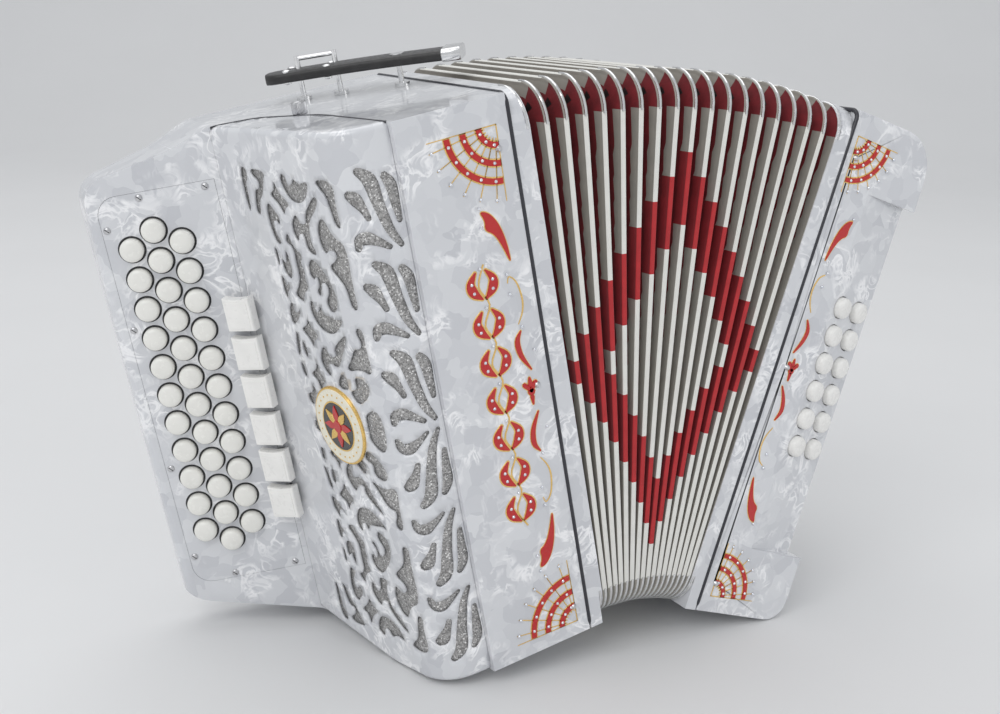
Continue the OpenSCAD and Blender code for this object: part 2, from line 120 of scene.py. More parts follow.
class Place:
    """A local frame: at() takes points in millimetres and gives the row frame's metres."""

    def __init__(self, origin, x, y, z):
        self.origin = np.array(origin, float)
        self.axes = np.array([x, y, z], float)

    def at(self, points):
        return (self.origin + np.asarray(points, float) @ self.axes) * MM

    def turned(self, x, y, z, degrees=0.0):
        """A frame at a local point, turned about the local z."""
        c, s = math.cos(math.radians(degrees)), math.sin(math.radians(degrees))
        a, b, up = self.axes
        return Place(self.at((x, y, z)) / MM, c * a + s * b, c * b - s * a, up)


TREBLE = Place(fold_foot(0) - FRAME_T * across(0), -across(0), Y_AXIS, rise(0))
BASS = Place(fold_foot(GAPS) + FRAME_T * across(GAPS), across(GAPS), Y_AXIS, rise(GAPS))
BOARD = TREBLE.turned(*BOARD_START, 0, FINGER_TURN)
BASS_FACE = BASS.turned(BASS_SLOPE_START, -HALF_D, 0, BASS_SLOPE)
FOLD = [Place(fold_foot(k), across(k), Y_AXIS, rise(k)) for k in range(GAPS + 1)]
FOLD_BODY = ["treble"] + ["fold_%02d" % k for k in range(1, GAPS)] + ["bass"]

# ---- Materials ----


class Finish:
    """A material whose patterns are placed in object coordinates, in millimetres."""

    def __init__(self, name, **inputs):
        self.material = bpy.data.materials.new(name)
        self.material.use_nodes = True
        self.tree = self.material.node_tree
        self.surface = self.tree.nodes["Principled BSDF"]
        for key, value in inputs.items():
            self.surface.inputs[key.replace("_", " ")].default_value = value
        where = self.node("TexCoord", {}).outputs["Object"]
        self.spot = self.vector("SCALE", {0: where, "Scale": 1 / MM})

    def node(self, kind, values, **settings):
        """A new node; values go to its inputs, by name or number."""
        node = self.tree.nodes.new("ShaderNode" + kind)
        for key, value in settings.items():
            setattr(node, key, value)
        for key, value in values.items():
            self.feed(node.inputs[key], value)
        return node

    def feed(self, socket, value):
        if isinstance(value, bpy.types.NodeSocket):
            self.tree.links.new(value, socket)
        else:
            socket.default_value = value

    def vector(self, operation, values):
        return self.node("VectorMath", values, operation=operation).outputs[0]

    def noise(self, size, detail=3.0, distortion=0.0, output="Fac"):
        return self.node("TexNoise", {"Vector": self.spot, "Scale": 1 / size,
            "Detail": detail, "Distortion": distortion}).outputs[output]

    def cells(self, size, output="Color", spot=None):
        values = {"Vector": spot or self.spot, "Scale": 1 / size}
        return self.node("TexVoronoi", values).outputs[output]

    def waves(self, axis, scale, distortion):
        values = {"Vector": self.spot, "Scale": scale, "Distortion": distortion}
        return self.node("TexWave", values, bands_direction=axis).outputs["Color"]

    def warped(self, size, reach):
        """The place, moved about by a noise of that size."""
        noise = self.noise(size, 2, output="Color")
        shift = self.vector("SUBTRACT", {0: noise, 1: (0.5, 0.5, 0.5)})
        return self.vector("ADD",
            {0: self.spot, 1: self.vector("SCALE", {0: shift, "Scale": reach})})

    def ramp(self, fac, *stops):
        """Colour or grey between stops of (position, value)."""
        node = self.node("ValToRGB", {"Fac": fac})
        items = node.color_ramp.elements
        while len(items) < len(stops):
            items.new(0.5)
        for item, (position, value) in zip(items, stops):
            item.position = position
            item.color = (*value, 1) if isinstance(value, tuple) else (value, value, value, 1)
        return node.outputs["Color"]

    def mix(self, fac, a, b, blend="MIX"):
        a, b = ((*v, 1) if isinstance(v, tuple) else v for v in (a, b))
        values = {"Factor": fac, 6: a, 7: b}
        return self.node("Mix", values, data_type="RGBA", blend_type=blend).outputs[2]

    def set(self, name, value):
        self.feed(self.surface.inputs[name], value)
        return self

    def rough(self, size, low, high, detail=3.0):
        """Roughness that wanders from low to high."""
        return self.set("Roughness", self.ramp(self.noise(size, detail), (0.3, low), (0.7, high)))

    def bump(self, height, depth, strength=1.0):
        """Relief of that depth in millimetres."""
        values = {"Distance": depth * MM, "Strength": strength, "Height": height}
        return self.set("Normal", self.node("Bump", values).outputs["Normal"])


def worn(finish, colour, spread, size):
    """Base colour that wanders a little over the given size."""
    low = tuple(max(c * (1 - spread), 0) for c in colour)
    high = tuple(min(c * (1 + spread), 1) for c in colour)
    return finish.ramp(finish.noise(size, 4), (0.3, low), (0.7, high))


def pearloid(name, low, high, streak):
    f = Finish(name, Roughness=0.2, Coat_Weight=0.7, Coat_Roughness=0.04)
    spot = f.warped(16, 16)
    flakes = f.ramp(f.cells(11, spot=spot), (0.1, low), (0.9, high))
    veins = f.ramp(f.noise(13, 4, 1.6), (0.40, 0.0), (0.48, 1.0), (0.50, 1.0), (0.56, 0.0))
    patches = f.ramp(f.noise(22, 2, 0.5), (0.48, 0.0), (0.62, 1.0))
    streaks = f.mix(1.0, veins, patches, "MULTIPLY")
    f.set("Base Color", f.mix(streaks, flakes, streak))
    f.rough(9, 0.14, 0.26)
    return f.bump(f.noise(24, 1), 0.25, 0.25).material


def plastic(name, colour, rough):
    f = Finish(name, Coat_Weight=0.4, Coat_Roughness=0.1)
    f.set("Base Color", worn(f, colour, 0.035, 9))
    f.rough(3, rough, rough + 0.1)
    return f.bump(f.noise(0.7), 0.02, 0.3).material


def metal(name, colour, rough, grain=0.5):
    f = Finish(name, Metallic=1.0)
    f.set("Base Color", worn(f, colour, 0.08, 3))
    f.rough(grain, rough, rough + 0.15, 5)
    return f.bump(f.noise(grain, 2), 0.015, 0.4).material


def woven(name, colour, spread, pitch=0.55):
    """Woven tape or cloth: two crossed sets of threads and a soft mottling."""
    f = Finish(name, Roughness=0.75, Sheen_Weight=0.25, Sheen_Roughness=0.4)
    weave = f.mix(0.5, *[f.waves(axis, WAVE_PERIOD / pitch, 0.6) for axis in ("Y", "Z")])
    tone = worn(f, colour, spread, 7)
    f.set("Base Color", f.mix(0.14, tone, weave, "MULTIPLY"))
    return f.bump(weave, 0.08, 0.5).material


def leather(name, colour):
    f = Finish(name, Coat_Weight=0.15, Coat_Roughness=0.3)
    grain = f.cells(0.9, "Distance")
    f.set("Base Color", worn(f, colour, 0.35, 6))
    f.rough(2, 0.32, 0.5)
    return f.bump(grain, 0.12, 0.5).material


def glittering():
    """Cloth covered with tiny flakes that face all ways."""
    f = Finish("glitter_cloth", Metallic=0.75, Roughness=0.35)
    flakes = f.cells(0.75)
    f.set("Base Color", f.ramp(flakes, (0.15, (0.26, 0.255, 0.25)), (0.75, (0.52, 0.51, 0.50)),
        (0.9, (0.95, 0.94, 0.92))))
    f.set("Roughness", f.ramp(flakes, (0.2, 0.55), (0.8, 0.2)))
    return f.bump(f.cells(0.75, "Distance"), 0.25, 0.9).material


def wooden():
    f = Finish("reed_block_wood", Roughness=0.5)
    grain = f.waves("X", 0.12, 5)
    f.set("Base Color", f.ramp(grain, (0.2, (0.46, 0.29, 0.14)), (0.8, (0.62, 0.43, 0.24))))
    return f.bump(grain, 0.1, 0.4).material


def crystal():
    f = Finish("rhinestone", Roughness=0.05, Metallic=0.6, IOR=2.0, Coat_Weight=1.0)
    f.set("Base Color", f.ramp(f.cells(0.6), (0.1, (0.55, 0.60, 0.68)), (0.9, (0.98, 0.98, 1.0))))
    return f.bump(f.cells(0.6, "Distance"), 0.2, 0.6).material


def backdrop():
    f = Finish("studio_floor", Roughness=0.6)
    f.set("Base Color", worn(f, (0.78, 0.78, 0.78), 0.01, 300))
    return f.bump(f.noise(2), 0.02, 0.1).material


PEARL = pearloid("pearloid", (0.60, 0.61, 0.64), (0.74, 0.75, 0.77), (0.95, 0.95, 0.96))
CAP = plastic("button_plastic", (0.88, 0.87, 0.82), 0.2)
KEY = plastic("register_plastic", (0.90, 0.89, 0.86), 0.25)
BASS_CAP = plastic("bass_button_plastic", (0.88, 0.87, 0.84), 0.22)
WHITE_TAPE = woven("white_tape", (0.88, 0.87, 0.82), 0.03)
# Darker copy of the white tape: painted shade on the crests' flanks and on the pleats' tape bands;
# the same grey-beige also colours the corner caps.
SHADED_TAPE_AND_CAPS = woven("shaded_tape_and_corner_caps", (0.36, 0.34, 0.30), 0.05)
RED_TAPE = woven("red_tape", (0.52, 0.025, 0.03), 0.1)
# Darker copy of the red tape: painted shade on the flanks of the red crests.
SHADED_RED_TAPE = woven("shaded_red_tape", (0.26, 0.012, 0.018), 0.12)
CLOTH = woven("red_cloth", (0.20, 0.010, 0.016), 0.2, 0.8)
GUSSET = leather("gusset_leather", (0.02, 0.018, 0.018))
CHROME = metal("chrome", (0.80, 0.80, 0.80), 0.08)
STEEL = metal("satin_steel", (0.62, 0.62, 0.63), 0.25)
GOLD = metal("gold_trim", (0.86, 0.58, 0.20), 0.22)
ENAMEL = plastic("red_enamel", (0.52, 0.010, 0.010), 0.12)
BLACK_LEATHER = leather("black_leather", (0.018, 0.017, 0.017))
RUBBER = plastic("seal_rubber", (0.02, 0.02, 0.028), 0.5)
# Black felt; also widened round the button holes as painted shade of the gaps, and used as painted
# shade in the screw slots.
BLACK_FELT_AND_SHADE = woven("black_felt_and_painted_shade", (0.03, 0.03, 0.032), 0.2, 0.4)
THREAD = woven("strap_thread", (0.22, 0.21, 0.20), 0.1, 0.4)
GLITTER = glittering()
WOOD = wooden()
STONE = crystal()
CREAM = plastic("cream_enamel", (0.86, 0.82, 0.68), 0.2)
DARK_ENAMEL = plastic("dark_enamel", (0.03, 0.028, 0.025), 0.15)

# ---- Outlines ----


def rounded(corners, closed=True, step=0.12):
    """Outline through corners (x, y, radius), with arcs of about `step` radians a segment."""
    out, n = [], len(corners)
    for i, (x, y, r) in enumerate(corners):
        if r == 0 or (not closed and i in (0, n - 1)):
            out.append((x, y))
            continue
        b = Vector((x, y))
        u = (Vector(corners[i - 1][:2]) - b).normalized()
        v = (Vector(corners[(i + 1) % n][:2]) - b).normalized()
        half = math.acos(max(-1, min(1, u.dot(v)))) / 2
        middle = b + (u + v).normalized() * r / math.sin(half)
        a0 = b + u * r / math.tan(half) - middle
        a1 = b + v * r / math.tan(half) - middle
        sweep = a0.angle_signed(a1)
        count = max(2, math.ceil(abs(sweep) / step))
        for j in range(count + 1):
            t = -sweep * j / count
            c, s = math.cos(t), math.sin(t)
            out.append((middle.x + a0.x * c - a0.y * s, middle.y + a0.x * s + a0.y * c))
    return out


def flowing(points, steps):
    """Smooth line through points of any dimension (Catmull-Rom)."""
    p = np.array(points, float)
    last = len(p) - 1
    out = []
    for i in range(last):
        a, b, c, d = p[max(i - 1, 0)], p[i], p[i + 1], p[min(i + 2, last)]
        for j in range(steps):
            t = j / steps
            out.append(0.5 * (2 * b + (c - a) * t + (2 * a - 5 * b + 4 * c - d) * t * t
                + (3 * b - a - 3 * c + d) * t ** 3))
    return [*out, p[-1]]


def softened(points):
    """Closed outline with its corners cut twice over, which rounds them."""
    p = np.array(points, float)
    for _ in range(2):
        q = np.roll(p, -1, axis=0)
        p = np.stack((0.75 * p + 0.25 * q, 0.25 * p + 0.75 * q), axis=1).reshape(-1, 2)
    return [tuple(v) for v in p]


def polar(x, y, r, a):
    return (x + r * math.cos(a), y + r * math.sin(a))


def stroke(points):
    """Closed outline of a tapering line with round ends; points are (x, y, width)."""
    line = flowing(points, 4)
    left, right = [], []
    for i, (x, y, w) in enumerate(line):
        before, after = line[max(i - 1, 0)], line[min(i + 1, len(line) - 1)]
        d = Vector((after[0] - before[0], after[1] - before[1])).normalized()
        left.append((x - d.y * w / 2, y + d.x * w / 2))
        right.append((x + d.y * w / 2, y - d.x * w / 2))
    ends = []
    for (x, y, w), edge in ((line[-1], left[-1]), (line[0], right[0])):
        a = math.atan2(edge[1] - y, edge[0] - x)
        ends.append([polar(x, y, w / 2, a - math.pi * j / 4) for j in (1, 2, 3)])
    return left + ends[0] + right[::-1] + ends[1]


def circle(x, y, r, n=24, stretch=1.0):
    turn = 2 * math.pi / n
    return [(x + r * math.cos(i * turn), y + r * stretch * math.sin(i * turn)) for i in range(n)]


def padded(width, thick, n=20, ends=0.35, faces=0.5):
    """Flat section with rounded corners: points (across, up) about its middle."""
    turns = [2 * math.pi * i / n for i in range(n)]
    return [(width / 2 * math.copysign(abs(math.cos(t)) ** ends, math.cos(t)),
        thick / 2 * math.copysign(abs(math.sin(t)) ** faces, math.sin(t))) for t in turns]


def band(x, y, r0, r1, a0, a1, n=14):
    """Sector of a ring about (x, y), between two radii and two angles in degrees."""
    angles = [math.radians(a0 + (a1 - a0) * i / n) for i in range(n + 1)]
    ring = [polar(x, y, r0, a) for a in angles]
    return ring + [polar(x, y, r1, a) for a in reversed(angles)]


def inside(points, loop):
    """Which of the points lie within a closed outline."""
    x, y = points[:, 0], points[:, 1]
    hit = np.zeros(len(points), bool)
    for (ax, ay), (bx, by) in zip(loop, loop[1:] + loop[:1]):
        if ay != by:
            hit ^= ((ay > y) != (by > y)) & (x < ax + (y - ay) * (bx - ax) / (by - ay))
    return hit


def fill(outer, holes=(), spacing=0.0):
    """Points and triangles over an outline less its holes, with extra points on a grid."""
    points, edges = [], []
    for loop in [outer, *holes]:
        base, n = len(points), len(loop)
        points += [tuple(p) for p in loop]
        edges += [(base + i, base + (i + 1) % n) for i in range(n)]

    def wanted(spots):
        keep = inside(spots, outer)
        for hole in holes:
            keep &= ~inside(spots, hole)
        return keep

    if spacing:
        lo, hi = np.min(outer, axis=0), np.max(outer, axis=0)
        grid = np.array([(x, y) for x in np.arange(lo[0] + spacing / 2, hi[0], spacing)
            for y in np.arange(lo[1] + spacing / 2, hi[1], spacing)])
        points += [tuple(p) for p in grid[wanted(grid)]]
    verts, _, tris = delaunay_2d_cdt([Vector(p) for p in points], edges, [], 0, 1e-4)[:3]
    verts = np.array([(v.x, v.y) for v in verts])
    keep = wanted(verts[np.array(tris)].mean(axis=1))
    return verts, [t for t, kept in zip(tris, keep) if kept]


def area(loop):
    p = np.array(loop)
    q = np.roll(p, -1, axis=0)
    return (p[:, 0] * q[:, 1] - q[:, 0] * p[:, 1]).sum() / 2


def unit(rows):
    return rows / np.maximum(np.linalg.norm(rows, axis=1), 1e-9)[:, None]


def inset(loop, distance):
    """Outline moved inwards by its corners' bisectors."""
    p = np.array(loop if area(loop) > 0 else loop[::-1], float)
    a, b = unit(p - np.roll(p, 1, axis=0)), unit(np.roll(p, -1, axis=0) - p)
    n = unit(np.stack((-a[:, 1] - b[:, 1], a[:, 0] + b[:, 0]), axis=1))
    return [tuple(v) for v in p + distance * n]


# ---- Meshes ----


def grid_faces(rows, columns, wrap=True, closed=False):
    """Faces between rows of points; wrap joins a row's ends, closed its last row to the first."""
    return [(r * columns + i, r * columns + (i + 1) % columns,
        (r + 1) % rows * columns + (i + 1) % columns, (r + 1) % rows * columns + i)
        for r in range(rows if closed else rows - 1)
        for i in range(columns if wrap else columns - 1)]


def placed(name, data):
    """A new object in the scene."""
    obj = bpy.data.objects.new(name, data)
    bpy.context.scene.collection.objects.link(obj)
    return obj


class Shape:
    """Points and faces gathered in local frames until piece() makes one mesh of them."""

    def __init__(self):
        self.points, self.faces, self.kinds = [], [], []

    def add(self, place, points, faces, kind=0):
        base = len(self.points)
        self.points += place.at(points).tolist()
        self.faces += [tuple(base + i for i in f) for f in faces]
        self.kinds += [kind] * len(faces) if isinstance(kind, int) else list(kind)
        return self

    def loft(self, place, rings, kind=0, ends=True):
        """Skin over rings of equal length, each a closed loop of local points."""
        n = len(rings[0])
        points = [p for ring in rings for p in ring]
        faces = grid_faces(len(rings), n)
        if ends:
            faces += [tuple(range(n)), tuple((len(rings) - 1) * n + i for i in range(n))]
        return self.add(place, points, faces, kind)

    def turn(self, place, profile, sides=36, centre=(0, 0)):
        """Solid turned about the local y through centre (x, z); profile is (radius, y)."""
        rings = [[(x, y, z) for x, z in circle(*centre, r, sides)] for r, y in profile]
        return self.loft(place, rings)

    def slab(self, place, outline, front, back, kind=0, edge=0.0):
        """Plate with its outline in local (x, z), from y front to y back, front edge eased."""
        outline = outline if area(outline) > 0 else outline[::-1]
        eased = inset(outline, edge) if edge else outline
        for loop, y in ((eased, front), (outline, back)):
            verts, tris = fill(loop)
            self.add(place, [(x, y, z) for x, z in verts], tris, kind)
        levels = [(eased, front), (outline, front + edge), (outline, back)]
        rings = [[(x, y, z) for x, z in loop] for loop, y in levels[0 if edge else 1:]]
        return self.loft(place, rings, kind, ends=False)

    def gems(self, place, spots, surface, r=0.9):
        """Small faceted stones on a surface at y, at places (x, z)."""
        for x, z in spots:
            self.turn(place, [(r, surface + 0.1), (r, surface - 0.3), (r * 0.55, surface - 0.75),
                (0.02, surface - 0.78)], sides=8, centre=(x, z))
        return self

    def piece(self, name, body, slot, materials, stands_for=(), crease=35):
        """One smooth-shaded mesh of the shape, riding on a body in place of its CAD nodes."""
        mesh = bpy.data.meshes.new(name)
        mesh.from_pydata(self.points, [], self.faces)
        for material in materials if isinstance(materials, list) else [materials]:
            mesh.materials.append(material)
        mesh.polygons.foreach_set("material_index", self.kinds)
        bm = bmesh.new()
        bm.from_mesh(mesh)
        bmesh.ops.remove_doubles(bm, verts=bm.verts, dist=1e-6)
        bmesh.ops.recalc_face_normals(bm, faces=bm.faces)
        bm.to_mesh(mesh)
        bm.free()
        mesh.polygons.foreach_set("use_smooth", [True] * len(mesh.polygons))
        mesh.set_sharp_from_angle(angle=math.radians(crease))
        obj = placed(name, mesh)
        if body:
            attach(obj, body)
        if stands_for:
            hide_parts(*stands_for)
        return obj


# ---- Bellows ----

CREST_HALF = 1.5
NOSE_DEPTH = 1.6
TAPE_DEPTH = 7.5
VALLEY_DEPTH = 19
CELLS = 17
CELL_LOW, CELL_HIGH = 40, 262
# The second and fourth kinds are darker copies of the white and red tapes: painted shade; the
# second also colours the corner caps.
TAPE, TAPE_SHADE_AND_CAP, RED, RED_TAPE_SHADE, CLOTH_KIND, TIP = range(6)
BELLOWS = [WHITE_TAPE, SHADED_TAPE_AND_CAPS, RED_TAPE, SHADED_RED_TAPE, CLOTH, GUSSET]


def fold_path():
    """Points round a fold: (y, up, inward y, inward up), and each segment's part of the ring."""
    cells = [CELL_HIGH + (CELL_LOW - CELL_HIGH) * i / CELLS for i in range(CELLS + 1)]
    low, high, side = FOLD_R, CASE_H - FOLD_R, HALF_D - FOLD_R
    points, parts = [], []

    def straight(a, b, inward, part, marks=()):
        for t in (a, *marks, b):
            points.append((*t, *inward))
            parts.append(part)

    def corner(cy, cz, start, part):
        for i in range(9):
            a = math.radians(start - 90 * i / 8)
            c, s = math.cos(a), math.sin(a)
            points.append((cy + FOLD_R * c, cz + FOLD_R * s, -c, -s))
            parts.append(part)

    marks = [(-HALF_D, z) for z in reversed(cells)]
    straight((-HALF_D, low), (-HALF_D, high), (1, 0), "front", marks)
    corner(-side, high, 180, "upper")
    straight((-side, CASE_H), (side, CASE_H), (0, -1), "top")
    corner(side, high, 90, "upper")
    straight((HALF_D, high), (HALF_D, low), (-1, 0), "rear")
    corner(side, low, 0, "lower")
    straight((side, 0), (-side, 0), (0, 1), "base")
    corner(-side, low, -90, "lower")
    after = points[1:] + points[:1]
    keep = [i for i, (a, b) in enumerate(zip(points, after)) if math.dist(a[:2], b[:2]) > 1e-6]
    return [points[i] for i in keep], [parts[i] for i in keep]


PATH, PARTS = fold_path()


def red_cell(k, i):
    """Whether the diamond covers cell i, counted from the top, of crest k."""
    j, rim = abs(k - GAPS // 2), 3
    hollow = j + rim <= i < CELLS - j - rim and j <= CELLS // 2 - rim
    return j <= min(i, CELLS // 2) and i < CELLS - j and not hollow


def crest_kind(k, segment, nose):
    """Material of one stretch of crest k, on its nose or on its side; sides and corners get
    painted shade, the corners' grey-beige being the caps' own colour too.
    """
    part = PARTS[segment]
    if part == "upper":
        return TAPE_SHADE_AND_CAP if nose or abs(PATH[segment][3]) > 0.85 else CLOTH_KIND
    if part == "lower":
        return TAPE_SHADE_AND_CAP
    z = (PATH[segment][1] + PATH[(segment + 1) % len(PATH)][1]) / 2
    cell = int((CELL_HIGH - z) / (CELL_HIGH - CELL_LOW) * CELLS) if z < CELL_HIGH else -1
    if part == "front" and red_cell(k, cell):
        return RED if nose else RED_TAPE_SHADE
    return TAPE if nose else TAPE_SHADE_AND_CAP


def ring_points(k, x, depth):
    depth = min(depth, FOLD_R - 0.4)
    return FOLD[k].at([(x, y + depth * ny, z + depth * nz) for y, z, ny, nz in PATH])


def skin(shape, rings, kinds):
    """Closed band through rings of points in metres; kinds(ring, segment) gives materials."""
    n, count = len(PATH), len(rings)
    shape.points = [p for ring in rings for p in ring.tolist()]
    shape.faces = grid_faces(count, n, closed=True)
    shape.kinds = [kinds(r, i) for r in range(count) for i in range(n)]


def crest(k):
    """Taped outer edge of fold k."""
    shape = Shape()
    flat_half, face, shoulder, back = 1.1, 0.12, 0.6, 3.2
    section = [(-CREST_HALF, back), (-CREST_HALF, shoulder), (-flat_half, face),
        (flat_half, face), (CREST_HALF, shoulder), (CREST_HALF, back)]
    rings = [ring_points(k, x, d) for x, d in section]
    # The middle faces are the nose in tape colour; the flanks take the tapes' painted-shade
    # copies.
    skin(shape, rings, lambda r, i: crest_kind(k, i, 0 < r < 4))
    shape.piece("crest_%02d" % k, FOLD_BODY[k], "bellows", BELLOWS,
        [FOLD_BODY[k]] if 0 < k < GAPS else ())


# Section of a corner guard: (across, depth)
GUARD = [(-0.9, 2), (-0.9, 0.2), (-0.62, -0.35), (0, -0.6), (0.62, -0.35), (0.9, 0.2), (0.9, 2)]


def guards(k):
    """Metal guards that wrap the four corners of fold k."""
    shape = Shape()
    down_reach, top_reach, steps = 0.8, 4, 8
    for sy, up in ((-1, 1), (1, 1), (1, -1), (-1, -1)):
        cy, cz = sy * (HALF_D - FOLD_R), (CASE_H - FOLD_R if up > 0 else FOLD_R)
        stations = [(sy * HALF_D, cz - up * down_reach, -sy, 0)]
        for i in range(steps + 1):
            a = math.pi / 2 * i / steps
            c, s = math.cos(a) * sy, math.sin(a) * up
            stations.append((cy + FOLD_R * c, cz + FOLD_R * s, -c, -s))
        stations.append((cy - sy * top_reach, cz + up * FOLD_R, 0, -up))
        rings = [[(x, y + d * ny, z + d * nz) for x, d in GUARD] for y, z, ny, nz in stations]
        shape.loft(FOLD[k], rings)
    shape.piece("corner_guards_%02d" % k, FOLD_BODY[k], "screws", CHROME)


def pleat(k):
    """Folded sheet between crests k and k + 1, its valley half-way between them."""
    shape = Shape()
    tape_end, tucked, nose_t, valley_t = 0.14, 0.15, 1.2, 0.6
    steps = [(0.0, NOSE_DEPTH), (tape_end, TAPE_DEPTH), (0.5, VALLEY_DEPTH),
        (1 - tape_end, TAPE_DEPTH), (1.0, NOSE_DEPTH)]
    under = [(1.0, NOSE_DEPTH + nose_t), (0.5, VALLEY_DEPTH + valley_t),
        (0.0, NOSE_DEPTH + nose_t)]
    rings, weights = [], []
    for w, depth in steps + under:
        a = ring_points(k, CREST_HALF - tucked, depth)
        b = ring_points(k + 1, tucked - CREST_HALF, depth)
        rings.append(a * (1 - w) + b * w)
        weights += [w] * len(PATH)

    def kind(r, i):
        # The tape bands next to each crest take that crest's side colour: painted shade.
        if r == 0:
            return crest_kind(k, i, False)
        if r == 3:
            return crest_kind(k + 1, i, False)
        gusset = PARTS[i] == "upper" and 0.5 < abs(PATH[i][3]) < 0.8
        return TIP if gusset or PARTS[i] == "lower" else CLOTH_KIND

    skin(shape, rings, kind)
    obj = shape.piece("pleat_%02d" % (k + 1), None, "bellows", BELLOWS)
    a, b = (Vector(p.at((0, 0, CASE_H / 2))) for p in (FOLD[k], FOLD[k + 1]))
    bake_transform(obj)


for k in range(GAPS + 1):
    crest(k)
    guards(k)
for k in range(GAPS):
    pleat(k)


def seal_cord(place, body, name, replaced):
    """Round black cord let in between a housing and its bellows frame."""
    r, sides, x0, corner, sunk = 1.25, 10, -0.6, 6, 0.5
    line = np.array(rounded([(-HALF_D, 0, corner), (HALF_D, 0, corner),
        (HALF_D, CASE_H, corner), (-HALF_D, CASE_H, corner)]))
    tangent = unit(np.roll(line, -1, axis=0) - np.roll(line, 1, axis=0))
    outward = np.stack((tangent[:, 1], -tangent[:, 0]), axis=1)
    points = [(x0 + q, y, z) for c, q in circle(0, 0, r, sides)
        for y, z in line + outward * (c - sunk)]
    shape = Shape().add(place, points, grid_faces(sides, len(line), closed=True))
    shape.piece(name, body, "seal", RUBBER, [replaced])


seal_cord(TREBLE, "treble", "treble_seal_cord", "treble_gasket")
seal_cord(BASS, "bass", "bass_seal_cord", "bass_gasket")

# ---- Grille cover ----

SILHOUETTE = rounded([(0, 0, 0), (101, 0, 3), (116, 13, 12), (188, 36, 20), (183, 286, 14),
    (138, 296, 30), (116, CASE_H, 25), (0, CASE_H, 0)])
CORNER = (116.72, 34.45)
COVER_T = 1.4
CLOTH_BEHIND = 1.6
COVER_LINE = rounded([(62.6, -76, 0), (90.5, -74.5, 24), (*CORNER, 0)], closed=False)
SEAM_LINE = rounded([(*CORNER, 0), (92.3, 26, 20), (71.3, -12, 30), (62.6, -76, 0)],
    closed=False)
MIRROR_UP = 149.5


def silhouette_at(out, upper):
    """Height of the treble side's upper or lower edge at a distance out."""
    hits = []
    for (ax, az), (bx, bz) in zip(SILHOUETTE, SILHOUETTE[1:] + SILHOUETTE[:1]):
        if min(ax, bx) <= out <= max(ax, bx) and ax != bx:
            hits.append(az + (out - ax) * (bz - az) / (bx - ax))
    return max(hits) if upper else min(hits)


class Track:
    """A line in plan, walked by its length."""

    def __init__(self, line):
        self.line = np.array(line, float)
        steps = np.diff(self.line, axis=0)
        self.run = np.concatenate(([0], np.cumsum(np.linalg.norm(steps, axis=1))))
        t = unit(steps)
        self.tangents = unit(np.concatenate((t[:1], t[:-1] + t[1:], t[-1:])))
        self.length = self.run[-1]

    def at(self, s, depth=0.0):
        """The point at length s, moved inwards by a depth."""
        spot, t = (np.array([np.interp(s, self.run, v[:, i]) for i in (0, 1)])
            for v in (self.line, self.tangents))
        return spot + np.array((-t[1], t[0])) / np.linalg.norm(t) * depth


COVER = Track(COVER_LINE)

# One group of openings on the cover's front edge, repeated down the housing;
# points are (s, up, width), with s along the cover from the seam
FLAMES = [
    [(6.4, 280.2, 3.4), (3.8, 275, 5.2), (3.2, 266, 4), (2.6, 257.5, 2.2)],
    [(19, 284.8, 3.4), (14, 279.5, 6.4), (11.6, 267, 5.2), (8.4, 254, 4), (4, 245.4, 2)],
    [(25.2, 273.6, 4.6), (22.6, 271.6, 6), (19.6, 266, 3.2), (18, 261.6, 2.2)],
    [(26, 247.4, 2.8), (24.4, 251.2, 5), (20.4, 252, 5.8), (15.4, 249.4, 3.6), (10, 245.6, 1.8)],
]
FLAME_PITCH = 46.4
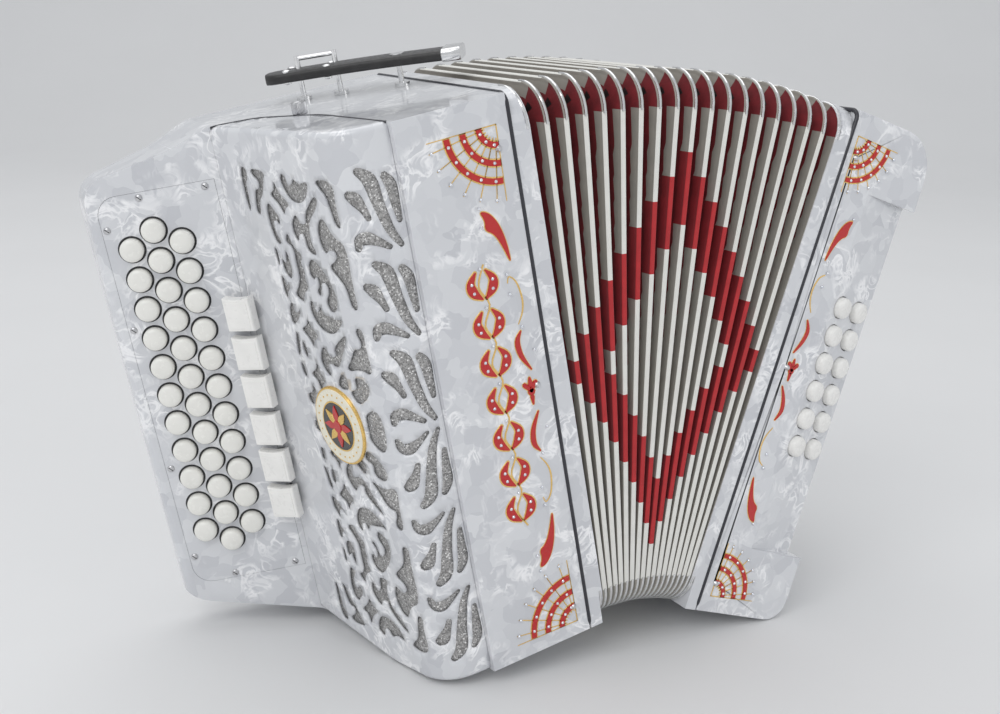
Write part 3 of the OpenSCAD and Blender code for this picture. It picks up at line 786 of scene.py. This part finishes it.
# Openings of the upper half: corners s, up, s, up ... of each, rounded later
CUTS = [list(zip(c[::2], c[1::2])) for c in (
    [32.6, 282, 46.4, 281.4, 44, 278, 39.4, 274, 38, 266, 36, 258.6, 32.8, 258.6, 34, 268],
    [32.4, 250, 40, 253, 44.6, 262, 49, 261.6, 52.8, 256, 53, 249.6, 50.4, 243.6, 44.6, 247.4,
        40.6, 245, 42, 240.4, 49.4, 237, 42.4, 231.6, 38.4, 227, 37.2, 216.4, 32.6, 216.4, 33.6,
        226],
    [33, 204.8, 36, 206.4, 38.6, 203.4, 35.8, 199, 36.4, 194.6, 42.6, 194, 47.6, 187, 53.4, 180.4,
        41, 184, 32, 180.8, 33.4, 193],
    [37.4, 177, 42, 178.4, 48.4, 177, 47.6, 170.4, 54.6, 168.6, 50, 162.4, 42, 166, 36.4, 171.6],
    [52, 280.4, 59, 278.6, 61.6, 279.2, 65, 281.4, 67, 278, 70.2, 276.6, 71.6, 282.4, 75, 283,
        77.4, 279.6, 73, 271.4, 67, 269, 60, 270, 55, 274],
    [46.6, 272.6, 50.6, 272.6, 58.4, 266, 61.6, 261.8, 62, 257.6, 66.4, 257.4, 68.4, 262.2, 72,
        261, 75.6, 255.6, 74, 249.4, 71.2, 248.6, 69.4, 253.4, 66, 252.4, 65.6, 243.4, 56.6,
        242.4, 60.2, 248, 60, 255, 57.6, 261, 50, 267],
    [60, 238.6, 64, 239.4, 68, 236, 68.4, 230.6, 65, 228.6, 62.6, 231.4, 61.6, 225.4, 65, 221.6,
        62, 219.8, 58.4, 229, 54.8, 227, 54.2, 222, 58.6, 217.6, 57, 212.4, 51, 213.6, 47.6, 219,
        49.6, 227, 54, 233],
    [46.6, 209.4, 52, 208, 58, 209.4, 63, 209.6, 65.4, 215, 68, 209.6, 70.4, 211, 71, 216.8, 74.6,
        214.6, 74.8, 209, 71, 202.6, 63, 199.6, 55, 201.6, 50, 206],
    [46.8, 200.8, 50.4, 199.2, 58, 193.8, 61.2, 190.4, 60.2, 186.8, 65, 185.4, 69.6, 192, 74.2,
        187, 75.8, 181.6, 72, 175.4, 67.6, 175.8, 70.2, 180, 67.6, 183.2, 62, 181, 57.4, 184,
        54.4, 189, 50, 195],
    [56.6, 178.8, 61.4, 175.4, 64.6, 169.4, 57.4, 169.4, 53.6, 172],
    [83.6, 280, 85, 273.4, 89.6, 271.4, 83.4, 267.4, 79.6, 260.8, 77.6, 265.6, 72.4, 267.6, 77.6,
        270.4, 81, 274],
    [89.6, 283.2, 102.8, 284.2, 103.2, 281.2, 99, 279, 97.8, 276, 99.2, 272.8, 103, 273.4, 106.4,
        260.6, 101.8, 259.8, 100, 268.4, 96, 271, 92.4, 279],
    [107.2, 284.6, 113.8, 284.6, 113.8, 262, 110.8, 261, 110, 270.6, 110, 277, 107.2, 279],
    [91.4, 266.4, 95.2, 265.4, 96.2, 258, 94.2, 247.4, 91.4, 245, 87.6, 246.2, 91, 250.4, 92,
        256.4, 89.8, 258.8, 86.4, 255.4, 84.6, 259.6, 88.6, 263.2],
    [80.4, 251.6, 83.2, 249.4, 84.2, 246.8, 80.2, 245.4, 78.6, 241.6, 79.2, 236, 78.6, 228, 82,
        222, 86.6, 217.4, 79, 214.6, 77.8, 219.4, 71.4, 224, 73.6, 228, 72, 232.6, 74.6, 236.4,
        71.2, 241, 76.2, 243.4, 79, 247.4],
    [79.8, 206, 82, 200.6, 88, 198.4, 83, 194.8, 79.4, 188.6, 77.8, 193.8, 72, 197, 78, 200.8],
    [80.2, 181.6, 82.4, 175.6, 87.8, 173, 83.4, 170, 81.6, 163.4, 78.6, 168.8, 74.4, 171.6, 78.8,
        175.4],
    [85.8, 242.4, 87.8, 238, 88.2, 233.8, 91.8, 238.4, 92, 229.6, 86.4, 226.2, 83.6, 231, 84.4,
        238],
    [94.2, 242.4, 96.8, 242.4, 96.4, 232.2, 93.8, 234.6],
    [90.2, 224.4, 92, 221, 94, 227.4, 96.8, 226, 96.2, 215.4, 93.6, 215.4, 92.8, 219, 90, 221],
    [84.2, 210.4, 88, 206.6, 90.8, 208.2, 90.2, 213, 93.2, 211.8, 96.2, 207, 95.6, 200.4, 92,
        201.4, 86.6, 206],
    [92, 195.8, 94.8, 195.4, 96.8, 183, 94.8, 182.4, 92.2, 189],
    [88.4, 191.4, 90.6, 190, 90, 184, 87.4, 182, 86.2, 187],
    [93.4, 177.8, 96.4, 178, 95.4, 170.4, 91.8, 171.6],
    [86.2, 163.6, 89.8, 166.6, 90.2, 161.2, 96.2, 160, 94.8, 154.2, 91, 155.2, 88.6, 160],
)]
MIDDLE_CUT = [(32.4, 163), (45.4, 157.4), (45.4, MIRROR_UP), (45.4, 2 * MIRROR_UP - 157.4),
    (32.4, 2 * MIRROR_UP - 163)]
# Oval badge: (length along the cover, height, radius), and its turn in plan
BADGE = (69, 147, 21)
BADGE_TURN = 76.5
CUT_GROWTH = 0.5


def mirrored(loop, middle=MIRROR_UP):
    return [(s, 2 * middle - z, *rest) for s, z, *rest in loop]


def grille_cuts():
    shapes = [softened(c) for c in CUTS] + [softened(mirrored(c)) for c in CUTS]
    shapes.append(softened(MIDDLE_CUT))
    for n in range(3):
        for flame in FLAMES:
            lowered = [(s, z - n * FLAME_PITCH, w) for s, z, w in flame]
            shapes += [stroke(lowered), stroke(mirrored(lowered))]
    return [inset(shape, -CUT_GROWTH) for shape in shapes]


def grille_cover():
    """Shell of the cover: pierced wall with rounded upper and lower edges, and its ends."""
    edge, arc_rings = 3.0, 6
    stations = np.linspace(0, COVER.length, 46)
    tops = [silhouette_at(COVER.at(s)[0], True) for s in stations]
    lows = [silhouette_at(COVER.at(s)[0], False) for s in stations]
    outline = [(s, z + edge) for s, z in zip(stations, lows)]
    outline += [(s, z - edge) for s, z in zip(stations[::-1], tops[::-1])]
    verts, tris = fill(outline, grille_cuts(), 4.0)

    shape = Shape().add(TREBLE, [(*COVER.at(s), z) for s, z in verts], tris)
    for heights, sign in ((tops, 1), (lows, -1)):
        rings = []
        for a in np.linspace(0, math.pi / 2, arc_rings):
            drop, depth = edge * (1 - math.sin(a)), edge * (1 - math.cos(a))
            rings.append([(*COVER.at(s, depth), z - sign * drop)
                for s, z in zip(stations, heights)])
        points = [p for ring in rings for p in ring]
        shape.add(TREBLE, points, grid_faces(arc_rings, len(stations), wrap=False))
        rim = [(x, y) for x, y, _ in rings[-1]]
        cap, cap_tris = fill(rim + SEAM_LINE[1:-1], (), 5.0)
        heights_at = [silhouette_at(x, sign > 0) for x, _ in cap]
        shape.add(TREBLE, [(x, y, z) for (x, y), z in zip(cap, heights_at)], cap_tris)
    obj = shape.piece("pierced_grille_cover", "treble", "pearl", PEARL, ["grille_cover"], 40)
    shell = obj.modifiers.new("wall", "SOLIDIFY")
    shell.thickness = COVER_T * MM
    shell.offset = -1


def grille_cloth():
    """Glittering cloth just behind the pierced wall."""
    margin, thick = 5.5, 0.6
    stations = np.linspace(0.6, 119, 60)
    low, high = [], []
    for depth, run in ((CLOTH_BEHIND, stations), (CLOTH_BEHIND + thick, stations[::-1])):
        for s in run:
            out, spot = COVER.at(s)[0], COVER.at(s, depth)
            low.append((*spot, silhouette_at(out, False) + margin))
            high.append((*spot, silhouette_at(out, True) - margin))
    shape = Shape().loft(TREBLE, [low, high])
    shape.piece("glitter_cloth", "treble", "glitter", GLITTER, ["grille_cloth"])


def seam_strip():
    """Dark seal in the upper joint between the cover and the housing."""
    half, above, depth = 0.5, 0.25, 2.5
    rings = []
    seam = Track(SEAM_LINE)
    for s in np.linspace(1, seam.length - 1, 40):
        near, far = seam.at(s, -half), seam.at(s, half)
        top = silhouette_at(seam.at(s)[0], True) + above
        rings.append([(*near, top), (*far, top), (*far, top - depth), (*near, top - depth)])
    shape = Shape().loft(TREBLE, rings)
    shape.piece("cover_seam_seal", "treble", "seal", RUBBER)


grille_cover()
grille_cloth()
seam_strip()

# ---- Screw and straps ----


def thumbscrew():
    """Knurled head over the joint, in place of the plain CAD one."""
    x0, y0, points, depth = 76, 4, 60, 0.35

    def ring(r, z, knurl=0.0):
        steps = [(r - knurl * (i % 2), 2 * math.pi * i / points) for i in range(points)]
        return [(x0 + q * math.cos(a), y0 + q * math.sin(a), CASE_H + z) for q, a in steps]

    shape = Shape().loft(TREBLE, [ring(1.5, -6), ring(1.5, 0.15), ring(3.5, 0.15),
        ring(4, 0.7, depth), ring(4, 5.6, depth), ring(3.5, 6.3), ring(2.2, 6.4), ring(1.6, 5.9)])
    shape.piece("knurled_thumbscrew", "treble", "thumbscrew", STEEL, ["grille_thumbscrew"])


def strap():
    """Thick leather strap with rounded edges, its rivets and its end cap."""
    a, b = Vector((64, 54)), Vector((-16, -6))
    along = (b - a).normalized()
    wide = Vector((-along.y, along.x))
    length, low, width, thick = (b - a).length, CASE_H + 10.5, 18, 6
    overhang, round_end, narrow, bow = 8.5, 8, 0.55, 0.8

    def section(d, w, t, up):
        return [(*(a + along * d + wide * x), up + h) for x, h in padded(w, t)]

    rings = []
    for d in np.linspace(-overhang, length, 34):
        near_end = min(1, min(d + overhang, length - d) / round_end)
        scale = narrow + (1 - narrow) * math.sqrt(max(0, 1 - (1 - near_end) ** 2))
        arch = bow * math.sin(math.pi * (d + overhang) / (length + overhang))
        rings.append(section(d, width * scale, thick, low + thick / 2 + arch))
    leather = Shape().loft(TREBLE, rings)
    leather.piece("leather_strap", "treble", "strap", BLACK_LEATHER, ["bellows_strap"])
    metal = Shape()
    for d, w in [(d, w) for d in (4, 27) for w in (-5.5, 5.5)]:
        spot = a + along * d + wide * w
        for z, sign in ((low + thick + 0.5, 1), (low + 0.2, -1)):
            metal.loft(TREBLE, [[(x, y, z + sign * h) for x, y in circle(*spot, r, 16)]
                for r, h in ((2.2, -0.6), (2.2, 0.2), (1.6, 0.7), (0.6, 0.95))])
    cap_width, cap_thick = width + 1.2, thick + 1.4
    metal.loft(TREBLE, [section(length + d, cap_width - thin, cap_thick - thin,
        low + thick / 2 + 0.2) for d, thin in ((-9, 0.6), (-8.6, 0), (0.6, 0), (1.2, 0.6))])
    metal.piece("strap_metal", "treble", "brackets", CHROME)


def hand_strap():
    """Bowed and padded leather strap on the outer side of the bass housing, with its seams."""
    foot, low, tall, bow, middle, width = 65.2, 48, 208, 30, 24, 52
    half_t, pad, stitches, seam = 2, 1.6, 44, 22.5
    leather, thread, rivets = Shape(), Shape(), Shape()

    def at(t, y, lift):
        """Point at a share t of the height, y across from the middle, lift off the inner face."""
        a = math.pi * t
        face = Vector((tall, -bow * math.pi * math.cos(a))).normalized()
        return (foot + bow * math.sin(a) + face[0] * lift, middle + y,
            low + tall * t + face[1] * lift)

    def swell(t, y):
        return half_t + pad * math.sin(math.pi * t) * (1 - (2 * y / width) ** 2)

    leather.loft(BASS, [[at(t, y, half_t + h * swell(t, y))
        for y, h in padded(width, 2, 28, 0.4, 0.6)] for t in np.linspace(0.001, 0.999, 40)])
    for side in (-seam, seam):
        for i in range(stitches):
            start = 0.03 + 0.94 * i / stitches
            along = ((0, 3.6), (0.006, 4.6), (0.0125, 4.6), (0.0185, 3.6))
            thread.loft(BASS, [[at(start + t, side + y, up + z) for y, z in
                ((-0.4, -0.3), (0.4, -0.3), (0.3, 0.25), (-0.3, 0.25))] for t, up in along])
    for t in (0.035, 0.965):
        for side in (-14, 0, 14):
            rivets.loft(BASS, [[at(t + x / tall, side + y, up) for x, y in circle(0, 0, r, 14)]
                for r, up in ((3.4, 3), (3.4, 4.7), (2.4, 5.5), (0.8, 5.9))])
    leather.piece("padded_hand_strap", "bass", "hand_leather", BLACK_LEATHER, ["hand_strap"], 60)
    thread.piece("hand_strap_stitches", "bass", "hand_leather", THREAD)
    rivets.piece("hand_strap_rivets", "bass", "pins", CHROME, crease=40)


thumbscrew()
strap()
hand_strap()

# ---- Badge ----

badge_out, badge_y = COVER.at(BADGE[0])
GRILLE_FACE = TREBLE.turned(badge_out, badge_y, BADGE[1], BADGE_TURN)


def badge():
    """Oval plate with a flower in its middle."""
    shape, r, tall = Shape(), BADGE[2], 1.06
    shape.slab(GRILLE_FACE, circle(0, 0, r, 48, tall), -1.4, 0, 1, 0.5)
    shape.slab(GRILLE_FACE, circle(0, 0, r - 1.2, 48, tall), -1.8, -1, 0, 0.3)
    shape.slab(GRILLE_FACE, circle(0, 0, 13.6, 40, tall), -1.95, -1, 1, 0.1)
    shape.slab(GRILLE_FACE, circle(0, 0, 12.8, 40, tall), -2.05, -1, 2, 0.1)
    for i in range(8):
        a = 2 * math.pi * i / 8
        c, s = math.cos(a), math.sin(a)
        petal = stroke([(2.6 * c, 2.8 * s, 2.2), (6.4 * c, 6.8 * s, 4.6), (11 * c, 11.6 * s, 1)])
        shape.slab(GRILLE_FACE, petal, -2.5, -2, 1 if i % 2 else 3, 0.15)
    shape.slab(GRILLE_FACE, circle(0, 0, 3.4, 24, tall), -2.9, -2, 3, 0.3)
    for x, z in circle(0, 0, 16.8, 24, tall):
        shape.slab(GRILLE_FACE, circle(x, z, 0.55, 8), -2.05, -1.7, 1, 0.1)
    shape.piece("badge", "treble", "pearl", [CREAM, GOLD, DARK_ENAMEL, ENAMEL])


badge()

# ---- Inlays of the two fronts ----

INLAY = [ENAMEL, GOLD]
RED_Y, GOLD_Y = 0.35, 0.2


def red_and_gold(shape, place, outline, border=0.7):
    """A red piece lying on a slightly larger gold one."""
    shape.slab(place, outline, -GOLD_Y - RED_Y, 0, 0, 0.08)
    shape.slab(place, inset(outline, -border), -GOLD_Y, 0, 1, 0.05)


def gold_line(shape, place, points):
    shape.slab(place, stroke(points), -GOLD_Y, 0, 1)


def fan(shape, stones, place, x, z, up, radii, width, reach):
    """Quarter rings of red about a corner, with thin gold rays beyond them."""
    a0, a1 = (2, 88) if up > 0 else (-88, -2)
    for i, r in enumerate(radii):
        red_and_gold(shape, place, band(x, z, r - width / 2, r + width / 2, a0, a1))
        count = 3 + i
        stones += [polar(x, z, r, math.radians(a0 + (a1 - a0) * (j + 0.5) / count))
            for j in range(count)]
    for j in range(6):
        a = math.radians(a0 + (a1 - a0) * (j + 0.5) / 6)
        start, end = polar(x, z, radii[0] - width, a), polar(x, z, reach, a)
        gold_line(shape, place, [(*start, 0.6), (*end, 0.45)])
        stones.append(polar(x, z, reach - 1, a))
    for a in (math.radians(a0 - 1), math.radians(a1 + 1)):
        gold_line(shape, place, [(x, z, 0.6), (*polar(x, z, reach, a), 0.4)])


def front_inlays(side, place, middle, top, low, radii, width, reach, parts, leaves=()):
    """The set of inlays on one housing; parts are drawn for the upper half and mirrored."""
    shape, stones = Shape(), []
    fan(shape, stones, place, *top, -1, radii, width, reach)
    fan(shape, stones, place, *low, 1, radii, width, reach)
    horn, curl, moon, fleur, gems = parts

    def both(points):
        return (points, mirrored(points, middle))

    for line in both(horn):
        red_and_gold(shape, place, softened(line), 0.5)
    for line in both(moon):
        red_and_gold(shape, place, stroke(line), 0.4)
    for line in both(curl):
        gold_line(shape, place, line)
    for spots in both(gems):
        stones += [tuple(p) for p in spots]
    for line in fleur:
        red_and_gold(shape, place, stroke(line), 0.4)
    if leaves:
        leaf_band(shape, stones, place, *leaves)
    shape.piece(side + "_inlay", side, "pearl", INLAY, crease=30)
    gems = Shape().gems(place, stones, -GOLD_Y - RED_Y + 0.1)
    gems.piece(side + "_inlay_stones", side, "pearl", STONE, crease=10)


# Horn, curl and moon, which are mirrored; the middle flower; stones, mirrored too
TREBLE_PARTS = (
    [(11.4, 219.6), (11.8, 229), (13.4, 238), (16.2, 245), (20.2, 249.8), (24.6, 250.8),
        (22, 245.6), (23, 240.6), (18.4, 238), (14.8, 230.6)],
    [(13, 188, 0.5), (9.6, 194, 0.8), (8.6, 201, 0.9), (10.4, 210, 0.8), (14, 214, 0.6),
        (15.4, 211, 0.5)],
    [(12.6, 184, 0.8), (15.4, 179, 2.8), (14.6, 171, 2.6), (10, 162, 0.8)],
    [[(12, 150, 4.4), (12, 152, 1)], [(9, 154.4, 2.6), (12, 150, 1.4)],
        [(15.4, 154.4, 2.6), (12, 150, 1.4)], [(12, 157.6, 1.2), (12, 154, 3)],
        [(12, 143, 1), (12, 147, 2.4)]],
    [(24.4, 252.4), (24.8, 243), (15.2, 215.4), (15.2, 205), (11.4, 186), (6.4, 172)],
)
BASS_PARTS = (
    [(9.6, 216), (10, 224), (11.6, 232.4), (14, 239), (17.6, 243.6), (21.6, 244.8),
        (19.6, 239.8), (20.2, 235), (15.8, 232.6), (12.4, 225.6)],
    [(12, 187, 0.5), (8.8, 193, 0.8), (7.8, 200, 0.9), (9.8, 207, 0.8), (13.4, 210, 0.6)],
    [(11.6, 182, 0.8), (14.2, 176, 2.4), (12.8, 169, 2.2), (9, 162, 0.8)],
    [[(11.6, 151, 4), (11.6, 153, 1)], [(8.8, 155, 2.4), (11.6, 151, 1.2)],
        [(14.8, 155, 2.4), (11.6, 151, 1.2)], [(11.6, 158, 1), (11.6, 155, 2.6)],
        [(11.6, 145.4, 1), (11.6, 149, 2.2)]],
    [(21, 245.6), (14.6, 211.4), (13.8, 203)],
)


def leaf_band(shape, stones, place, x, low, high, count):
    """Upright ornament: pairs of leaves on a wavy stem, with stones along them."""
    pitch = (high - low) / count
    stem = [(x + (2.2 if i % 2 else -2.2), low + (high - low) * i / (2 * count), 0.9)
        for i in range(2 * count + 1)]
    gold_line(shape, place, stem)
    for i in range(count):
        z = low + (i + 0.5) * pitch
        for side in (-1, 1):
            leaf = [(x + side * 1.2, z - 6.6, 1), (x + side * 5.4, z - 2.4, 5),
                (x + side * 6.4, z + 2.4, 4.2), (x + side * 3, z + 7.6, 1)]
            red_and_gold(shape, place, stroke(leaf), 0.7)
            stones += [(x + side * 5.4, z - 2.6), (x + side * 6, z + 2.2)]
        stones.append((x, z + pitch / 2 - 1 if i < count - 1 else z + 9))


front_inlays("treble", TREBLE.turned(0, -HALF_D, 0), 150, (7.5, 291), (7, 8.5), (10, 19, 28),
    3.1, 38.5, TREBLE_PARTS, (29.5, 77, 224, 7))
front_inlays("bass", BASS.turned(0, -HALF_D, 0), 151.5, (4.5, 291), (7, 10), (9, 17.5, 25.5),
    2.7, 33, BASS_PARTS)

# ---- Buttons and registers ----

CAP_PROFILE = [(2.4, 7.4), (2.4, 1.6), (6.45, 1.6), (6.45, -2.4), (6.3, -3.2), (5.8, -3.95),
    (5.0, -4.4), (3.4, -4.65), (1.6, -4.78), (0.1, -4.8)]
# Dark ring in each button hole, wider than the hole: partly a felt bushing, partly painted shade
# of the gap round the cap.
DARK_HOLE_RING_PROFILE = [(6.72, 2.9), (6.72, -0.25), (7.3, -0.25), (7.6, 0.02), (7.09, 0.02),
    (7.09, 2.9), (6.72, 2.9)]
SCREW_PROFILE = [(1.1, 9), (1.1, 0.2), (2.1, 0.2), (2.0, -0.25), (1.5, -0.75), (0.7, -1.0),
    (0.05, -1.05)]
BASS_PROFILE = [(3, 14), (3, 6), (6.25, 6), (6.25, -2.2), (6.05, -3), (5.5, -3.6), (4.4, -4.0),
    (2.4, -4.2), (0.1, -4.25)]
SCREW_SPOTS = [(x, up) for x in (-18.5, 17) for up in (PLATE_LOW + 2.8, PLATE_HIGH - 3)]
SCREW_SPOTS += [(PLATE_OUT - 2.9, up) for up in (61.7, 118.8, 203, 260)]


def row_spots(row):
    count, shift = (12, 0) if row == 1 else (11, 0.5)
    return [(row * ROW_PITCH, TOP_BUTTON_UP - BUTTON_PITCH * (i + shift)) for i in range(count)]


# The dark rings round the caps are partly felt and partly painted shade.
rings = Shape()
for row, name in enumerate(("inner", "middle", "outer")):
    caps = Shape()
    for spot in row_spots(row):
        caps.turn(BOARD, CAP_PROFILE, centre=spot)
        rings.turn(BOARD, DARK_HOLE_RING_PROFILE, centre=spot)
    caps.piece("button_caps_" + name, "buttons_" + name, "button_cap", CAP,
        ["treble_buttons_" + name])
rings.piece("button_hole_felts_and_shade", "treble", "seal", BLACK_FELT_AND_SHADE)

screws, slot_shades = Shape(), Shape()
for x, up in SCREW_SPOTS:
    screws.turn(BOARD, SCREW_PROFILE, sides=20, centre=(x, up))
    # A black stroke on each screw head: painted shade in its slot.
    slot_shades.slab(BOARD, stroke([(x - 0.9, up - 0.9, 0.4), (x + 0.9, up + 0.9, 0.4)]), -1.12, -0.5, 0)
screws.piece("domed_panel_screws", "treble", "screws", STEEL, ["panel_screws"])
slot_shades.piece("panel_screw_slot_shade", "treble", "screws", BLACK_FELT_AND_SHADE)

for n in range(12):
    spot = (BASS_COLUMNS[n % 2], BASS_TOP - BASS_PITCH * (n // 2))
    name = "bass_button_%02d" % (n + 1)
    cap = Shape().turn(BASS_FACE, BASS_PROFILE, centre=spot)
    cap.piece("bass_cap_%02d" % (n + 1), name, "bass_cap", BASS_CAP, [name])


def register_key(i):
    """Keycap with a hollowed top edge and a raised panel, on its stem."""
    place = BOARD.turned(REGISTER_X, 0, REGISTER_TOP - REGISTER_PITCH * i, REGISTER_TURN)
    half, tall, hollow, rounds = 8.4, 9.6, 1.1, 1.0
    top = [(x, tall - hollow * (1 - (x / half) ** 2)) for x in np.linspace(half, -half, 9)]
    panel = [(x, z, rounds) for x, z in ((-6.6, -8.2), (6.6, -8.2), (6.6, 7), (-6.6, 7))]
    stem = [(-1.5, -5.8), (1.5, -5.8), (1.5, 4.6), (-1.5, 4.6)]
    shape = Shape()
    shape.slab(place, [(-half, -tall), (half, -tall), *top], -13, -7.2, 0, 0.7)
    shape.slab(place, rounded(panel), -13.25, -12.8, 0, 0.2)
    shape.slab(place, stem, -8, 5.8)
    name = "register_switch_%d" % (i + 1)
    shape.piece("register_key_%d" % (i + 1), name, "register_cap", KEY, [name], 30)


for i in range(6):
    register_key(i)

# ---- CAD nodes that stay ----

# Width of the rounding of each node's sharp edges
SOFT_EDGES = {"treble_case": 1.6, "bass_case": 2.2, "fingerboard_plate": 0.5,
    "treble_frame": 0.8, "bass_frame": 0.8}
for name, width in SOFT_EDGES.items():
    modifiers = frame["nodes"][name].modifiers
    modifiers.new("weld", "WELD").merge_threshold = 1e-6
    bevel = modifiers.new("bevel", "BEVEL")
    bevel.width = width * MM
    bevel.segments = 3
    bevel.limit_method = "ANGLE"
    bevel.angle_limit = math.radians(50)
    bevel.harden_normals = True

NODE_FINISH = {
    PEARL: ("treble_case", "bass_case", "fingerboard_plate", "treble_frame", "bass_frame"),
    STEEL: ("treble_frame_pins", "bass_frame_pins", "treble_levers_inner",
        "treble_levers_middle", "treble_levers_outer"),
    CHROME: ("strap_brackets",),
    WOOD: ("treble_reed_blocks", "bass_reed_block"),
    BASS_CAP: ("air_button",),
}
for material, names in NODE_FINISH.items():
    for name in names:
        mesh = frame["nodes"][name].data
        mesh.materials.clear()
        mesh.materials.append(material)

# ---- Studio ----


def floor():
    """Floor that curves up into a far backdrop."""
    near, far, curve, tall, wide, gap = 4, 2.2, 1.6, 6, 8, 0.0002
    profile = [(-near, 0), (0, 0), (far, 0)]
    profile += [(far + curve * math.sin(a), curve * (1 - math.cos(a)))
        for a in np.linspace(0.1, math.pi / 2, 12)]
    profile.append((far + curve, tall))
    ahead = Vector((VIEW[0], VIEW[1], 0)).normalized()
    right = Vector((VIEW[1], -VIEW[0], 0)).normalized()
    lowest = cad_box[0].z - gap
    points = [ahead * d + right * side + Vector((0, 0, lowest + h))
        for side in (-wide, wide) for d, h in profile]
    n = len(profile)
    mesh = bpy.data.meshes.new("floor")
    mesh.from_pydata(points, [], [(i, n + i, n + i + 1, i + 1) for i in range(n - 1)])
    mesh.polygons.foreach_set("use_smooth", [True] * (n - 1))
    mesh.materials.append(backdrop())
    placed("floor", mesh)


def area_light(name, spot, size, power):
    """Square lamp aimed at the instrument."""
    light = bpy.data.lights.new(name, "AREA")
    light.size = size
    light.energy = power
    obj = placed(name, light)
    obj.location = spot
    aim = Vector((0, 0, 0.15)) - Vector(spot)
    obj.rotation_euler = aim.to_track_quat("-Z", "Y").to_euler()


# Camera: its place from the treble housing's foot in millimetres, its direction and lens
CAMERA_FROM_FOOT = Vector((-394.09, -677.72, 340.97))
VIEW = Vector((0.46886, 0.84725, -0.24968)).normalized()
VIEW_UP = Vector((0.09683, 0.23167, 0.96796))
LENS = 49.58

camera = placed("camera", bpy.data.cameras.new("camera"))
right = VIEW.cross(VIEW_UP).normalized()
turn = Matrix((right, right.cross(VIEW), -VIEW)).transposed()
camera.matrix_world = Matrix.Translation((Vector(TREBLE.origin) + CAMERA_FROM_FOOT) * MM) \
    @ turn.to_4x4()
camera.data.lens = LENS
camera.data.sensor_width = 36
bpy.context.scene.camera = camera

floor()
area_light("key", (-1.8, -1.2, 2.0), 1.8, 22)
area_light("fill", (1.6, -2.0, 1.0), 1.4, 6)
area_light("top", (0.2, 0.9, 2.6), 2.6, 20)

world = bpy.data.worlds.new("studio")
bpy.context.scene.world = world
world.use_nodes = True
background = world.node_tree.nodes["Background"]
background.inputs["Color"].default_value = (0.86, 0.88, 0.91, 1)
background.inputs["Strength"].default_value = 0.7
bpy.context.scene.view_settings.view_transform = "Standard"
